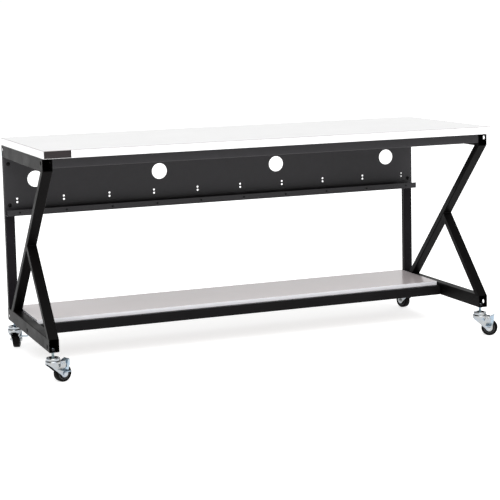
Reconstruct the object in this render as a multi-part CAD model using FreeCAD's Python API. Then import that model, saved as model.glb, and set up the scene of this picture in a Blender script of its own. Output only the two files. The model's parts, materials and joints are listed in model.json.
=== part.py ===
import FreeCAD, Part

import math
import os

# Mobile assembly table: a laminate worktop and a lower shelf on two welded K-shaped end frames,
# joined by bolted cross rails, with a sheet steel back panel folded into a cable tray and four
# swivel casters with foot brakes.
#
# Millimetres. +X runs along the worktop to the right, +Y from the front to the back, +Z up.
# The origin is on the floor, under the middle of the worktop.

Vector = FreeCAD.Vector

# ---------------------------------------------------------------- worktop
TOP_LENGTH = 1828.8
TOP_DEPTH = 711.2
TOP_THICKNESS = 28.6
TOP_LAMINATE = 1.0
TOP_BACKER = 0.8
TOP_BAND = 2.0
BAND_EASING = 0.8  # rounding of the band's long outer edges

# ---------------------------------------------------------------- end frames
FRAME_SIDE_OVERHANG = 3.6  # worktop past the end frames, each side
FRAME_FRONT_OVERHANG = 40.0
FRAME_REAR_OVERHANG = 0.6
SIDE_TUBE_WIDTH = 38.0
SIDE_TUBE_HEIGHT = 50.0
TUBE_WALL = 2.0
TUBE_CORNER = 3.0  # outside corner radius of every tube
END_CLEAR_HEIGHT = 609.0  # from the base tube up to the top tube
BRACE_DEPTH = 25.4  # of the slanted tubes, across their length in the frame's plane
KNEE_SETBACK = 288.0  # from the tubes' front ends back to the knee
POST_DEPTH = 25.4  # of the rear posts, front to back

# ---------------------------------------------------------------- cross rails
RAIL_SIZE = 38.0
TOP_RAIL_RECESS = 1.0  # of the top front rail behind the tubes' front ends
SHELF_RAIL_SETBACK = 322.0  # from the tubes' front ends to the shelf's front rail
NUT_PLATE = 4.0
RAIL_BOLT_D = 8.0
RAIL_BOLT_REACH = 22.0  # of the bolt past the end frame's wall
BOLT_HEAD_AF = 13.0
BOLT_HEAD_H = 5.3
BOLT_HOLE_CLEARANCE = 0.3
ACCESS_HOLE_D = 16.0  # socket access, in the end frames' outer walls
SPARE_HOLE_SETBACK = 28.0  # of the base tubes' unused access hole, from their front ends

# ---------------------------------------------------------------- shelf
SHELF_THICKNESS = 16.0
SHELF_LAMINATE = 0.8
SHELF_BACKER = 0.6
SHELF_BAND = 1.2
SHELF_END_GAP = 3.0
SHELF_EDGE_SETBACK = 24.0  # of the shelf's front edge behind its front rail's face
SHELF_SCREW_INSET = 6.6  # of the front row of screws behind the shelf's front edge

# ---------------------------------------------------------------- back panel and cable tray
SHEET = 1.5
SHEET_BEND = 2.5  # outside radius of the folds
PANEL_DROP = 232.0  # from the top tubes down to the tray's floor
PANEL_TOP_GAP = 1.0
TRAY_DEPTH = 41.0
LIP_HEIGHT = 24.0
CABLE_HOLE_D = 65.0
CABLE_HOLE_COUNT = 4
CABLE_HOLE_INSET = 127.0  # of the outer cable holes from the panel's ends
CABLE_HOLE_DROP = 92.0  # from the top tubes to the cable holes' centres
TIE_HOLE_COUNT = 10
TIE_HOLE_INSET = 50.0  # of the outer tie holes from the panel's ends
TIE_HOLE_D = 8.0
TIE_PAIR_SPACING = 13.5
TIE_PAIR_RISE = 57.8  # from the tray's underside to the middle of a pair
LIP_HOLE_D = 8.0
LIP_HOLE_RISE = 12.7  # from the tray's underside
PANEL_SCREW_DROP = (27.0, 192.0)  # from the top tubes

# ---------------------------------------------------------------- screws
WOOD_SCREW_D = 5.0
WORKTOP_SCREW_BITE = 16.0
SHELF_SCREW_BITE = 11.0
SCREW_HEAD_D = 9.5
SCREW_HEAD_H = 3.0
DRIVER_HOLE_D = 10.4  # in the wall below each upward screw
SIDE_SCREW_INSET = 75.0  # from a side tube's ends
RAIL_SCREW_INSET = 270.0  # from a rail's ends
SCREWS_PER_ROW = 3
PANEL_SCREW_D = 6.0
PANEL_SCREW_LENGTH = 9.0
PANEL_SCREW_HEAD_D = 16.0
PANEL_SCREW_HEAD_H = 4.0

# ---------------------------------------------------------------- casters
WHEEL_D = 65.0
WHEEL_WIDTH = 25.0
TREAD_THICKNESS = 9.0
TREAD_CROWN = 0.8
TREAD_SHOULDER = 3.0
HUB_WIDTH = 28.0
HUB_D = 21.0
WEB_THICKNESS = 7.0
RIM_THICKNESS = 3.0
RIM_RECESS = 0.5
CORE_ROUND = 1.5
TRAIL = 38.0  # from the swivel axis back to the axle
AXLE_D = 8.0
AXLE_THREAD_END = 3.0  # of the axle bolt past its nut
AXLE_NUT_H = 6.8
SLEEVE_D = 12.0
RUNNING_CLEARANCE = 0.06
FORK_SHEET = 2.5
FORK_SIDE_GAP = 0.5  # between the hub and each cheek
CHEEK_LOBE_R = 14.0
CHEEK_TOP_DROP = 5.0  # of the cheeks' upper edges below the crown's top
CHEEK_REAR_RISE = 26.0  # above the axle, to where the cheeks' rear edges rake forward
CHEEK_REAR_ROUND = 12.0
SWEEP_START = 1.0  # behind the swivel axis, where the cheeks' front edges leave the crown
SWEEP_END_RISE = 20.0  # above the axle, to where the front edges stand upright
SWEEP_ROUND = 14.0
SWIVEL_RISE = 31.0  # of the swivel cap's top above the wheel's top
CROWN_DROP = 11.0  # of the crown's top below the cap's top
CROWN_D = 59.0
CROWN_HEIGHT = 10.5
CROWN_ROUND = 4.0
RACE_STEP = 2.0  # of the ball race above the rest of the crown
RACE_STEP_D = 47.6
RACE_STEP_ROUND = 0.6
SHOULDER_DROP = 16.0  # over which the round crown runs down into the flat cheeks
SHOULDER_BACK = 24.0  # behind the swivel axis, where the shoulders have become the cheeks
SHOULDER_FLAT_DEG = 24.0  # of the crown's edge over each flat side of the shoulder
CAP_D = 52.0
CAP_SKIRT = 9.5
CAP_ROUND = 3.2
CAP_RECESS_D = 38.0
CAP_RECESS_FLOOR_D = 26.0
CAP_RECESS_DEPTH = 5.0
CAP_BEND = 2.0
BALL_D = 6.35
BALL_GAP = 0.05
BALL_CIRCLE_D = 40.8
BALL_COUNT = 8
STEM_D = 11.1
STEM_EXPOSED = 22.0  # between the cap and the base tube
STEM_ABOVE_NUT = 2.0
STEM_CHAMFER = 1.0
STEM_NUT_AF = 17.0
STEM_NUT_H = 9.0
STEM_SETBACK_FRONT = 24.0  # from the base tube's front end to the front stems
STEM_SETBACK_REAR = 26.0
KINGPIN_WASHER_D = 22.0
KINGPIN_WASHER_H = 2.0
KINGPIN_HEAD_D = 17.0
KINGPIN_HEAD_H = 3.0
KINGPIN_HEAD_ROUND = 1.2
AXIAL_PLAY = 0.3
BRAKE_PIN_D = 5.0
BRAKE_PIN_OFFSET = 34.0  # behind the swivel axis
BRAKE_PIN_RISE = 6.0  # above the wheel's top
BRAKE_PIN_HEAD_D = 9.0
BRAKE_PIN_HEAD_H = 1.8
BRAKE_BARREL_D = 9.2
BRAKE_SHEET = 2.4
BRAKE_SIDE_GAP = 0.8
PEDAL_END = 58.0  # behind the swivel axis
PEDAL_RISE_DEG = 27.0
PEDAL_BEND = 3.0
PEDAL_LIP = 6.0  # height of the side flanges at the pedal's tip
SHOE_CLEARANCE = 0.7  # of the brake shoe above the tread with the brake off
SHOE_REACH = 12.0  # of the shoe behind the axle
SHOE_ROUND = 4.0
SIDE_ARM_GAP = 1.0  # between the fork and the arm outside it
SIDE_ARM_WIDTH = 14.0
SIDE_ARM_BACK = 6.0  # of the arm behind the fork's lobe
SIDE_ARM_ROUND = 8.0
SIDE_TAB_RISE = 11.5  # of the foot tab's underside above the axle
SIDE_TAB_FRONT = 13.0  # of the tab's front edge ahead of the axle
SIDE_TAB_LENGTH = 24.0
SIDE_TAB_REACH = 46.0  # of the foot tab out from the wheel's middle
BRIDGE_LENGTH = 7.0  # of the strip that carries the side arm off the pedal's tip
BRAKE_EASING = 0.8
CASTER_HEADINGS = {  # direction in which each wheel trails, counter-clockwise from +X
    "front_left": 18.0,
    "front_right": -35.0,
    "rear_left": 68.0,
    "rear_right": 105.0,
}

# ---------------------------------------------------------------- levels and planes worked out from the sizes
FRAME_LEFT = -TOP_LENGTH / 2 + FRAME_SIDE_OVERHANG
FRAME_RIGHT = -FRAME_LEFT
FRAME_FRONT = -TOP_DEPTH / 2 + FRAME_FRONT_OVERHANG
FRAME_REAR = TOP_DEPTH / 2 - FRAME_REAR_OVERHANG
CASTER_HEIGHT = WHEEL_D + SWIVEL_RISE
BASE_BOTTOM = CASTER_HEIGHT + STEM_EXPOSED
BASE_TOP = BASE_BOTTOM + SIDE_TUBE_HEIGHT
UPPER_BOTTOM = BASE_TOP + END_CLEAR_HEIGHT
UPPER_TOP = UPPER_BOTTOM + SIDE_TUBE_HEIGHT
WORKTOP_TOP = UPPER_TOP + TOP_THICKNESS
KNEE_Z = (BASE_TOP + UPPER_BOTTOM) / 2
KNEE_Y = FRAME_FRONT + KNEE_SETBACK
RAIL_HALF_SPAN = FRAME_RIGHT - SIDE_TUBE_WIDTH
TUBE_CENTRE_X = FRAME_RIGHT - SIDE_TUBE_WIDTH / 2
POST_FRONT = FRAME_REAR - POST_DEPTH
PANEL_FRONT = POST_FRONT - SHEET
TRAY_FLOOR = UPPER_BOTTOM - PANEL_DROP
SHELF_TOP = BASE_BOTTOM + RAIL_SIZE + SHELF_THICKNESS
AXLE_Z = WHEEL_D / 2
CHEEK_INNER = HUB_WIDTH / 2 + FORK_SIDE_GAP
CHEEK_OUTER = CHEEK_INNER + FORK_SHEET
CROWN_TOP = CASTER_HEIGHT - CROWN_DROP
CROWN_BOTTOM = CROWN_TOP - CROWN_HEIGHT
RACE_LEVEL = CROWN_TOP + RACE_STEP
BRAKE_PIN_HEIGHT = WHEEL_D + BRAKE_PIN_RISE

# Front face of each cross rail, and the level of its underside.
TOP_RAIL_BOTTOM = UPPER_TOP - RAIL_SIZE
RAILS = {
    "top_front_rail": (FRAME_FRONT + TOP_RAIL_RECESS, TOP_RAIL_BOTTOM),
    "top_rear_rail": (FRAME_REAR - RAIL_SIZE, TOP_RAIL_BOTTOM),
    "shelf_front_rail": (FRAME_FRONT + SHELF_RAIL_SETBACK, BASE_BOTTOM),
    "shelf_rear_rail": (FRAME_REAR - RAIL_SIZE, BASE_BOTTOM),
}

OVERRUN = 60.0  # how far cutting shapes run past what they cut


# ================================================================ shapes
def box(x0, x1, y0, y1, z0, z1):
    return Part.makeBox(x1 - x0, y1 - y0, z1 - z0, Vector(x0, y0, z0))


def rod(radius, start, end):
    """Cylinder between two points."""
    axis = end - start
    return Part.makeCylinder(radius, axis.Length, start, axis)


def outline(corners, place):
    """Closed wire through (a, b, radius) corners, rounded by their radii; place maps (a, b) to 3-D."""
    edges = []
    ends = []
    count = len(corners)
    for i, (a, b, radius) in enumerate(corners):
        here = Vector(a, b, 0)
        before = Vector(*corners[i - 1][:2], 0) - here
        after = Vector(*corners[(i + 1) % count][:2], 0) - here
        before.normalize()
        after.normalize()
        if radius <= 0:
            ends.append((here, here, here))
            continue
        half = before.getAngle(after) / 2
        reach = radius / math.tan(half)
        bisector = before + after
        bisector.normalize()
        centre = here + bisector * (radius / math.sin(half))
        ends.append((here + before * reach, centre - bisector * radius, here + after * reach))
    for i, (start, middle, end) in enumerate(ends):
        following = ends[(i + 1) % count][0]
        if (end - start).Length > 1e-6:
            arc_points = [place(p.x, p.y) for p in (start, middle, end)]
            edges.append(Part.Arc(*arc_points).toShape())
        if (following - end).Length > 1e-6:
            edges.append(Part.makeLine(place(end.x, end.y), place(following.x, following.y)))
    return Part.Wire(edges)


def extruded(corners, place, direction):
    """Solid swept from a rounded outline."""
    return Part.Face(outline(corners, place)).extrude(direction)


def rectangle(a0, a1, b0, b1, radius):
    return [(a0, b0, radius), (a1, b0, radius), (a1, b1, radius), (a0, b1, radius)]


def revolved(profile):
    """Solid turned about Z from (radius, height, rounding) corners."""
    wire = outline(profile, lambda r, z: Vector(r, 0, z))
    return Part.Face(wire).revolve(Vector(0, 0, 0), Vector(0, 0, 1), 360)


def hollow_bar(a_size, b_size, place, direction):
    """Rectangular tube with rounded corners, centred on the outline's origin."""
    a, b = a_size / 2, b_size / 2
    outer = extruded(rectangle(-a, a, -b, b, TUBE_CORNER), place, direction)
    a, b = a - TUBE_WALL, b - TUBE_WALL
    inner_corner = max(TUBE_CORNER - TUBE_WALL, 0.2)
    inner = extruded(rectangle(-a, a, -b, b, inner_corner), place, direction)
    return outer.cut(inner)


def hexagon(across_flats, height, base, direction):
    """Hexagonal prism for a bolt head or a nut, standing on base."""
    side = Vector(0, 0, 1) if abs(direction.z) < 0.5 else Vector(1, 0, 0)
    across = direction.cross(side)
    radius = across_flats / math.sqrt(3)
    points = []
    for k in range(7):
        angle = math.radians(60 * k)
        points.append(base + side * (radius * math.cos(angle)) + across * (radius * math.sin(angle)))
    return Part.Face(Part.makePolygon(points)).extrude(direction * height)


def prism_yz(points, x0, x1):
    """Prism along X over a polygon of (y, z) points."""
    corners = [(y, z, 0) for y, z in points]
    return extruded(corners, lambda y, z: Vector(x0, y, z), Vector(x1 - x0, 0, 0))


def spread(count, pitch):
    """Positions of evenly spaced features, centred on zero."""
    return [(i - (count - 1) / 2) * pitch for i in range(count)]


def between_ends(count, half_length, inset):
    """Evenly spaced positions, centred on zero, with the outer ones an inset from both ends."""
    return spread(count, 2 * (half_length - inset) / (count - 1))


def turned_up(solid, axis_point):
    """Solid made about Z, turned so that its axis lies along Y through a point."""
    solid.rotate(Vector(0, 0, 0), Vector(1, 0, 0), 90)
    return solid.translated(axis_point)


# ================================================================ end frames
def side_rows():
    """X of the end frames' centres with the sign of their outward direction."""
    return {"left": (-TUBE_CENTRE_X, -1), "right": (TUBE_CENTRE_X, 1)}


def side_tube(x, outward, bottom, bolt_holes, access_only, screw_holes, stem_holes):
    """Open-ended tube along Y. bolt_holes and access_only are (y, z) pairs in its side walls."""
    z = bottom + SIDE_TUBE_HEIGHT / 2
    tube = hollow_bar(
        SIDE_TUBE_WIDTH,
        SIDE_TUBE_HEIGHT,
        lambda a, b: Vector(x + a, FRAME_FRONT, z + b),
        Vector(0, FRAME_REAR - FRAME_FRONT, 0),
    )
    outer_wall = x + outward * SIDE_TUBE_WIDTH / 2
    inner_wall = x - outward * SIDE_TUBE_WIDTH / 2
    cutters = []
    for y, hole_z in bolt_holes + access_only:
        start = Vector(outer_wall + outward, y, hole_z)
        cutters.append(rod(ACCESS_HOLE_D / 2, start, Vector(x, y, hole_z)))
    for y, hole_z in bolt_holes:
        end = Vector(inner_wall - outward, y, hole_z)
        cutters.append(rod(RAIL_BOLT_D / 2 + BOLT_HOLE_CLEARANCE, Vector(x, y, hole_z), end))
    for y in screw_holes:
        cutters += upward_screw_holes(x, y, bottom, bottom + SIDE_TUBE_HEIGHT)
    for y in stem_holes:
        cutters.append(rod(STEM_D / 2, Vector(x, y, bottom - 1), Vector(x, y, z)))
    for cutter in cutters:
        tube = tube.cut(cutter)
    return tube


def brace_direction(sign):
    """Unit vector along the slanted tubes, downwards; sign +1 runs to the back, -1 to the front."""
    direction = Vector(0, sign * KNEE_SETBACK, -(UPPER_BOTTOM - KNEE_Z))
    direction.normalize()
    return direction


def slanted_tube(x, face_point, direction, inward):
    """Long tube whose one broad face passes through face_point, with its middle plane towards inward."""
    start = face_point - direction * OVERRUN * 4 + inward * (BRACE_DEPTH / 2)
    length = (UPPER_BOTTOM - BASE_TOP) * 2
    return hollow_bar(
        SIDE_TUBE_WIDTH,
        BRACE_DEPTH,
        lambda a, b: Vector(x, 0, 0) + start + Vector(a, 0, 0) + inward * b,
        direction * length,
    )


def long_diagonal(x):
    """From the top tube's front corner through the knee to the back of the base tube."""
    direction = brace_direction(1)
    inward = Vector(0, -direction.z, direction.y)
    tube = slanted_tube(x, Vector(0, FRAME_FRONT, UPPER_BOTTOM), direction, inward)
    keep = box(x - OVERRUN, x + OVERRUN, FRAME_FRONT - OVERRUN, FRAME_REAR + OVERRUN, BASE_TOP, UPPER_BOTTOM)
    return tube.common(keep)


def strut(x):
    """From the base tube's front corner up to the knee, butted against the long diagonal's lower face."""
    direction = brace_direction(-1)
    inward = Vector(0, -direction.z, direction.y)
    tube = slanted_tube(x, Vector(0, KNEE_Y, KNEE_Z), direction, inward)
    foot_y = KNEE_Y + KNEE_SETBACK
    head_y = FRAME_FRONT
    before = head_y - OVERRUN
    below = [(before, BASE_TOP), (foot_y, BASE_TOP), (head_y, UPPER_BOTTOM), (before, UPPER_BOTTOM)]
    return tube.common(prism_yz(below, x - OVERRUN, x + OVERRUN))


def rear_post(x):
    post = hollow_bar(
        SIDE_TUBE_WIDTH,
        POST_DEPTH,
        lambda a, b: Vector(x + a, POST_FRONT + POST_DEPTH / 2 + b, BASE_TOP),
        Vector(0, 0, END_CLEAR_HEIGHT),
    )
    for drop in PANEL_SCREW_DROP:
        start = Vector(x, POST_FRONT - 1, UPPER_BOTTOM - drop)
        post = post.cut(rod(PANEL_SCREW_D / 2, start, start + Vector(0, TUBE_WALL + 2, 0)))
    return post


# ================================================================ cross rails and their fasteners
def upward_screw_holes(x, y, bottom, top):
    """Driver hole in the lower wall and clearance hole in the upper wall of a tube."""
    middle = (bottom + top) / 2
    driver = rod(DRIVER_HOLE_D / 2, Vector(x, y, bottom - 1), Vector(x, y, middle))
    clearance = rod(WOOD_SCREW_D / 2 + BOLT_HOLE_CLEARANCE, Vector(x, y, middle), Vector(x, y, top + 1))
    return [driver, clearance]


def screw_row(name):
    """Y of a rail's upward screws; the shelf lies over only the rear part of its front rail."""
    if name == "shelf_front_rail":
        return shelf_front_edge() + SHELF_SCREW_INSET
    return RAILS[name][0] + RAIL_SIZE / 2


def rail_screw_places():
    return between_ends(SCREWS_PER_ROW, RAIL_HALF_SPAN, RAIL_SCREW_INSET)


def cross_rail(name):
    front, bottom = RAILS[name]
    y = front + RAIL_SIZE / 2
    rail = hollow_bar(
        RAIL_SIZE,
        RAIL_SIZE,
        lambda a, b: Vector(-RAIL_HALF_SPAN, y + a, bottom + RAIL_SIZE / 2 + b),
        Vector(2 * RAIL_HALF_SPAN, 0, 0),
    )
    for x in rail_screw_places():
        for cutter in upward_screw_holes(x, screw_row(name), bottom, bottom + RAIL_SIZE):
            rail = rail.cut(cutter)
    return rail


def rail_ends():
    """Each end of each rail: the centre of its joint face and the outward direction."""
    ends = []
    for front, bottom in RAILS.values():
        for outward in (-1, 1):
            centre = Vector(outward * RAIL_HALF_SPAN, front + RAIL_SIZE / 2, bottom + RAIL_SIZE / 2)
            ends.append((centre, Vector(outward, 0, 0)))
    return ends


def rail_nut_plates():
    """Tapped plates welded inside the rails' ends."""
    plates = []
    half = RAIL_SIZE / 2 - TUBE_WALL
    corner = max(TUBE_CORNER - TUBE_WALL, 0.2)
    for centre, outward in rail_ends():
        plate = extruded(
            rectangle(-half, half, -half, half, corner),
            lambda a, b, c=centre: c + Vector(0, a, b),
            outward * -NUT_PLATE,
        )
        plates.append(plate.cut(rod(RAIL_BOLT_D / 2, centre + outward, centre - outward * (NUT_PLATE + 1))))
    return plates


def rail_bolts():
    """Hexagon bolts through the end frames' inner walls into the nut plates."""
    bolts = []
    for centre, outward in rail_ends():
        seat = centre + outward * TUBE_WALL
        head = hexagon(BOLT_HEAD_AF, BOLT_HEAD_H, seat, outward)
        shank = rod(RAIL_BOLT_D / 2, seat, centre - outward * RAIL_BOLT_REACH)
        bolts.append(head.fuse(shank).removeSplitter())
    return bolts


def upward_screw(x, y, board_bottom, bite):
    """Pan-head wood screw driven up through a tube's upper wall into the board above it."""
    seat = board_bottom - TUBE_WALL
    head = Part.makeCylinder(SCREW_HEAD_D / 2, SCREW_HEAD_H, Vector(x, y, seat - SCREW_HEAD_H))
    shank = Part.makeCylinder(WOOD_SCREW_D / 2, TUBE_WALL + bite, Vector(x, y, seat))
    return head.fuse(shank).removeSplitter()


def side_screw_rows():
    middle = (FRAME_FRONT + FRAME_REAR) / 2
    half = (FRAME_REAR - FRAME_FRONT) / 2 - SIDE_SCREW_INSET
    return [middle - half, middle, middle + half]


def rail_screw_points(*names):
    points = []
    for name in names:
        points += [(x, screw_row(name)) for x in rail_screw_places()]
    return points


def worktop_screw_points():
    points = rail_screw_points("top_front_rail", "top_rear_rail")
    for x, _ in side_rows().values():
        points += [(x, y) for y in side_screw_rows()]
    return points


def shelf_screw_points():
    return rail_screw_points("shelf_front_rail", "shelf_rear_rail")


# ================================================================ worktop and shelf
def worktop_layer(bottom, top):
    x, y = TOP_LENGTH / 2 - TOP_BAND, TOP_DEPTH / 2 - TOP_BAND
    return box(-x, x, -y, y, bottom, top)


def drilled(board, points, bottom, bite):
    """Board with pilot holes for upward screws that enter at the level called bottom."""
    for x, y in points:
        board = board.cut(rod(WOOD_SCREW_D / 2, Vector(x, y, bottom - 1), Vector(x, y, bottom + bite)))
    return board


def worktop_edge_band():
    """Four strips around the board, mitred at the corners, with their long outer edges eased."""
    x, y = TOP_LENGTH / 2, TOP_DEPTH / 2
    outer = box(-x, x, -y, y, UPPER_TOP, WORKTOP_TOP)
    long_edges = [e for e in outer.Edges if abs(e.BoundBox.ZLength) < 1e-6]
    outer = outer.makeFillet(BAND_EASING, long_edges)
    inner = box(-x + TOP_BAND, x - TOP_BAND, -y + TOP_BAND, y - TOP_BAND, UPPER_TOP - 1, WORKTOP_TOP + 1)
    ring = outer.cut(inner)
    strips = []
    for sign in (-1, 1):
        mitre = [(sign * x, -y, 0), (sign * (x - y), 0, 0), (sign * x, y, 0)]
        wedge = extruded(mitre, lambda a, b: Vector(a, b, UPPER_TOP - 1), Vector(0, 0, TOP_THICKNESS + 2))
        strips.append(ring.common(wedge))
        ring = ring.cut(wedge)
    return strips + ring.Solids


def shelf_front_edge():
    return RAILS["shelf_front_rail"][0] + SHELF_EDGE_SETBACK


def shelf_layer(bottom, top):
    """Layer of the shelf inside its bands."""
    x = RAIL_HALF_SPAN - SHELF_END_GAP - SHELF_BAND
    return box(-x, x, shelf_front_edge() + SHELF_BAND, FRAME_REAR, bottom, top)


def shelf_edge_bands():
    """Strips on the shelf's front edge and on its two ends."""
    x = RAIL_HALF_SPAN - SHELF_END_GAP
    edge = shelf_front_edge()
    behind = edge + SHELF_BAND
    bottom = SHELF_TOP - SHELF_THICKNESS
    strips = [box(-x, x, edge, behind, bottom, SHELF_TOP)]
    for start in (-x, x - SHELF_BAND):
        strips.append(box(start, start + SHELF_BAND, behind, FRAME_REAR, bottom, SHELF_TOP))
    return strips


# ================================================================ back panel
def panel_section():
    """Outline (y, z) of the folded sheet: upright panel, tray floor, upturned lip."""
    back = POST_FRONT
    front = back - SHEET
    lip_back = front - TRAY_DEPTH + SHEET
    lip_front = lip_back - SHEET
    outside, inside = SHEET_BEND, max(SHEET_BEND - SHEET, 0.2)
    top = UPPER_BOTTOM - PANEL_TOP_GAP
    return [
        (back, top, 0),
        (back, TRAY_FLOOR, outside),
        (lip_front, TRAY_FLOOR, outside),
        (lip_front, TRAY_FLOOR + LIP_HEIGHT, 0),
        (lip_back, TRAY_FLOOR + LIP_HEIGHT, 0),
        (lip_back, TRAY_FLOOR + SHEET, inside),
        (front, TRAY_FLOOR + SHEET, inside),
        (front, top, 0),
    ]


def back_panel():
    sheet = extruded(
        panel_section(), lambda y, z: Vector(FRAME_LEFT, y, z), Vector(FRAME_RIGHT - FRAME_LEFT, 0, 0)
    )
    front, back = PANEL_FRONT - 1, POST_FRONT + 1
    cutters = []
    for x in between_ends(CABLE_HOLE_COUNT, FRAME_RIGHT, CABLE_HOLE_INSET):
        z = UPPER_BOTTOM - CABLE_HOLE_DROP
        cutters.append(rod(CABLE_HOLE_D / 2, Vector(x, front, z), Vector(x, back, z)))
    for x in between_ends(TIE_HOLE_COUNT, FRAME_RIGHT, TIE_HOLE_INSET):
        for offset in spread(2, TIE_PAIR_SPACING):
            z = TRAY_FLOOR + TIE_PAIR_RISE + offset
            cutters.append(rod(TIE_HOLE_D / 2, Vector(x, front, z), Vector(x, back, z)))
        z = TRAY_FLOOR + LIP_HOLE_RISE
        lip = PANEL_FRONT - TRAY_DEPTH
        cutters.append(rod(LIP_HOLE_D / 2, Vector(x, lip - 1, z), Vector(x, lip + SHEET + 1, z)))
    for x, _ in side_rows().values():
        for drop in PANEL_SCREW_DROP:
            z = UPPER_BOTTOM - drop
            cutters.append(rod(PANEL_SCREW_D / 2, Vector(x, front, z), Vector(x, back, z)))
    return sheet.cut(Part.makeCompound(cutters))


def panel_screws():
    """Round-head screws through the panel into the rear posts."""
    profile = [
        (0, 0, 0),
        (PANEL_SCREW_HEAD_D / 2, 0, 0),
        (PANEL_SCREW_HEAD_D / 2, PANEL_SCREW_HEAD_H, PANEL_SCREW_HEAD_H * 0.8),
        (0, PANEL_SCREW_HEAD_H, 0),
    ]
    head = revolved(profile)
    shank = Part.makeCylinder(PANEL_SCREW_D / 2, PANEL_SCREW_LENGTH, Vector(0, 0, -PANEL_SCREW_LENGTH))
    screw = turned_up(head.fuse(shank).removeSplitter(), Vector(0, 0, 0))
    screws = []
    for x, _ in side_rows().values():
        for drop in PANEL_SCREW_DROP:
            screws.append(screw.translated(Vector(x, PANEL_FRONT, UPPER_BOTTOM - drop)))
    return screws


# ================================================================ casters, trailing along +X at the origin
def caster_stem():
    """Threaded stem with its riveted head and washer below the fork's crown."""
    top = BASE_BOTTOM + TUBE_WALL + STEM_NUT_H + STEM_ABOVE_NUT
    washer_top = RACE_LEVEL - FORK_SHEET - AXIAL_PLAY
    head_top = washer_top - KINGPIN_WASHER_H
    head_bottom = head_top - KINGPIN_HEAD_H
    radius = STEM_D / 2
    profile = [
        (0, head_bottom, 0),
        (KINGPIN_HEAD_D / 2, head_bottom, KINGPIN_HEAD_ROUND),
        (KINGPIN_HEAD_D / 2, head_top, 0),
        (KINGPIN_WASHER_D / 2, head_top, 0),
        (KINGPIN_WASHER_D / 2, washer_top, 0),
        (radius, washer_top, 0),
        (radius, top - STEM_CHAMFER, 0),
        (radius - STEM_CHAMFER, top, 0),
        (0, top, 0),
    ]
    return revolved(profile)


def stem_nut():
    """Weld nut on the base tube's floor."""
    seat = BASE_BOTTOM + TUBE_WALL
    nut = hexagon(STEM_NUT_AF, STEM_NUT_H, Vector(0, 0, seat), Vector(0, 0, 1))
    return nut.cut(Part.makeCylinder(STEM_D / 2, STEM_NUT_H + 2, Vector(0, 0, seat - 1)))


def swivel_cap():
    """Upper race: a pressed cup, fixed to the stem, whose rim covers the balls."""
    outer = CAP_D / 2
    rim = CASTER_HEIGHT - CAP_SKIRT
    track = RACE_LEVEL + BALL_D + 2 * BALL_GAP
    wall = outer - (BALL_CIRCLE_D + BALL_D) / 2 - 4 * BALL_GAP
    floor = CASTER_HEIGHT - CAP_RECESS_DEPTH
    sheet = CASTER_HEIGHT - track
    profile = [
        (outer, rim, 0),
        (outer, CASTER_HEIGHT, CAP_ROUND),
        (CAP_RECESS_D / 2, CASTER_HEIGHT, CAP_BEND),
        (CAP_RECESS_FLOOR_D / 2, floor, CAP_BEND),
        (STEM_D / 2, floor, 0),
        (STEM_D / 2, floor - sheet, 0),
        (CAP_RECESS_FLOOR_D / 2 + sheet / 4, floor - sheet, CAP_BEND / 2),
        (CAP_RECESS_D / 2 - sheet / 4, track, CAP_BEND / 2),
        (outer - wall, track, CAP_BEND / 4),
        (outer - wall, rim, 0),
    ]
    return revolved(profile)


def swivel_balls():
    """Balls of the swivel, rolling on the crown's raised race."""
    balls = []
    for k in range(BALL_COUNT):
        angle = 2 * math.pi * k / BALL_COUNT
        radius = BALL_CIRCLE_D / 2
        level = RACE_LEVEL + BALL_GAP + BALL_D / 2
        middle = Vector(radius * math.cos(angle), radius * math.sin(angle), level)
        balls.append(Part.makeSphere(BALL_D / 2, middle))
    return balls


def crown(inset):
    """Solid of the crown's outside, or of its inside when inset by the sheet's thickness."""
    outer = CROWN_D / 2 - inset
    step = RACE_STEP_D / 2 - inset
    profile = [
        (0, CROWN_BOTTOM, 0),
        (outer, CROWN_BOTTOM, 0),
        (outer, CROWN_TOP - inset, CROWN_ROUND - inset),
        (step, CROWN_TOP - inset, RACE_STEP_ROUND),
        (step - RACE_STEP_ROUND, RACE_LEVEL - inset, RACE_STEP_ROUND),
        (0, RACE_LEVEL - inset, 0),
    ]
    return revolved(profile)


def circle_of_eight(radius, level):
    """Circle in eight arcs that pair with the corners and sides of a rounded rectangle in a loft."""

    def at(degrees):
        angle = math.radians(degrees)
        return Vector(radius * math.cos(angle), radius * math.sin(angle), level)

    edges = []
    for quarter in range(4):
        start = 180.0 + SHOULDER_FLAT_DEG / 2 + 90.0 * quarter
        middle = start + 90.0 - SHOULDER_FLAT_DEG
        end = start + 90.0
        edges.append(Part.Arc(at(start), at((start + middle) / 2), at(middle)).toShape())
        edges.append(Part.Arc(at(middle), at((middle + end) / 2), at(end)).toShape())
    return Part.Wire(edges)


def shoulder(inset, low_half):
    """Loft from the round crown down to the flat cheeks."""
    radius = CROWN_D / 2 - inset
    low_level = CROWN_BOTTOM - SHOULDER_DROP - inset
    low = outline(
        rectangle(-radius, SHOULDER_BACK - inset, -low_half, low_half, low_half / 2),
        lambda a, b: Vector(a, b, low_level),
    )
    return Part.makeLoft([circle_of_eight(radius, CROWN_BOTTOM), low], True, True)


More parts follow.
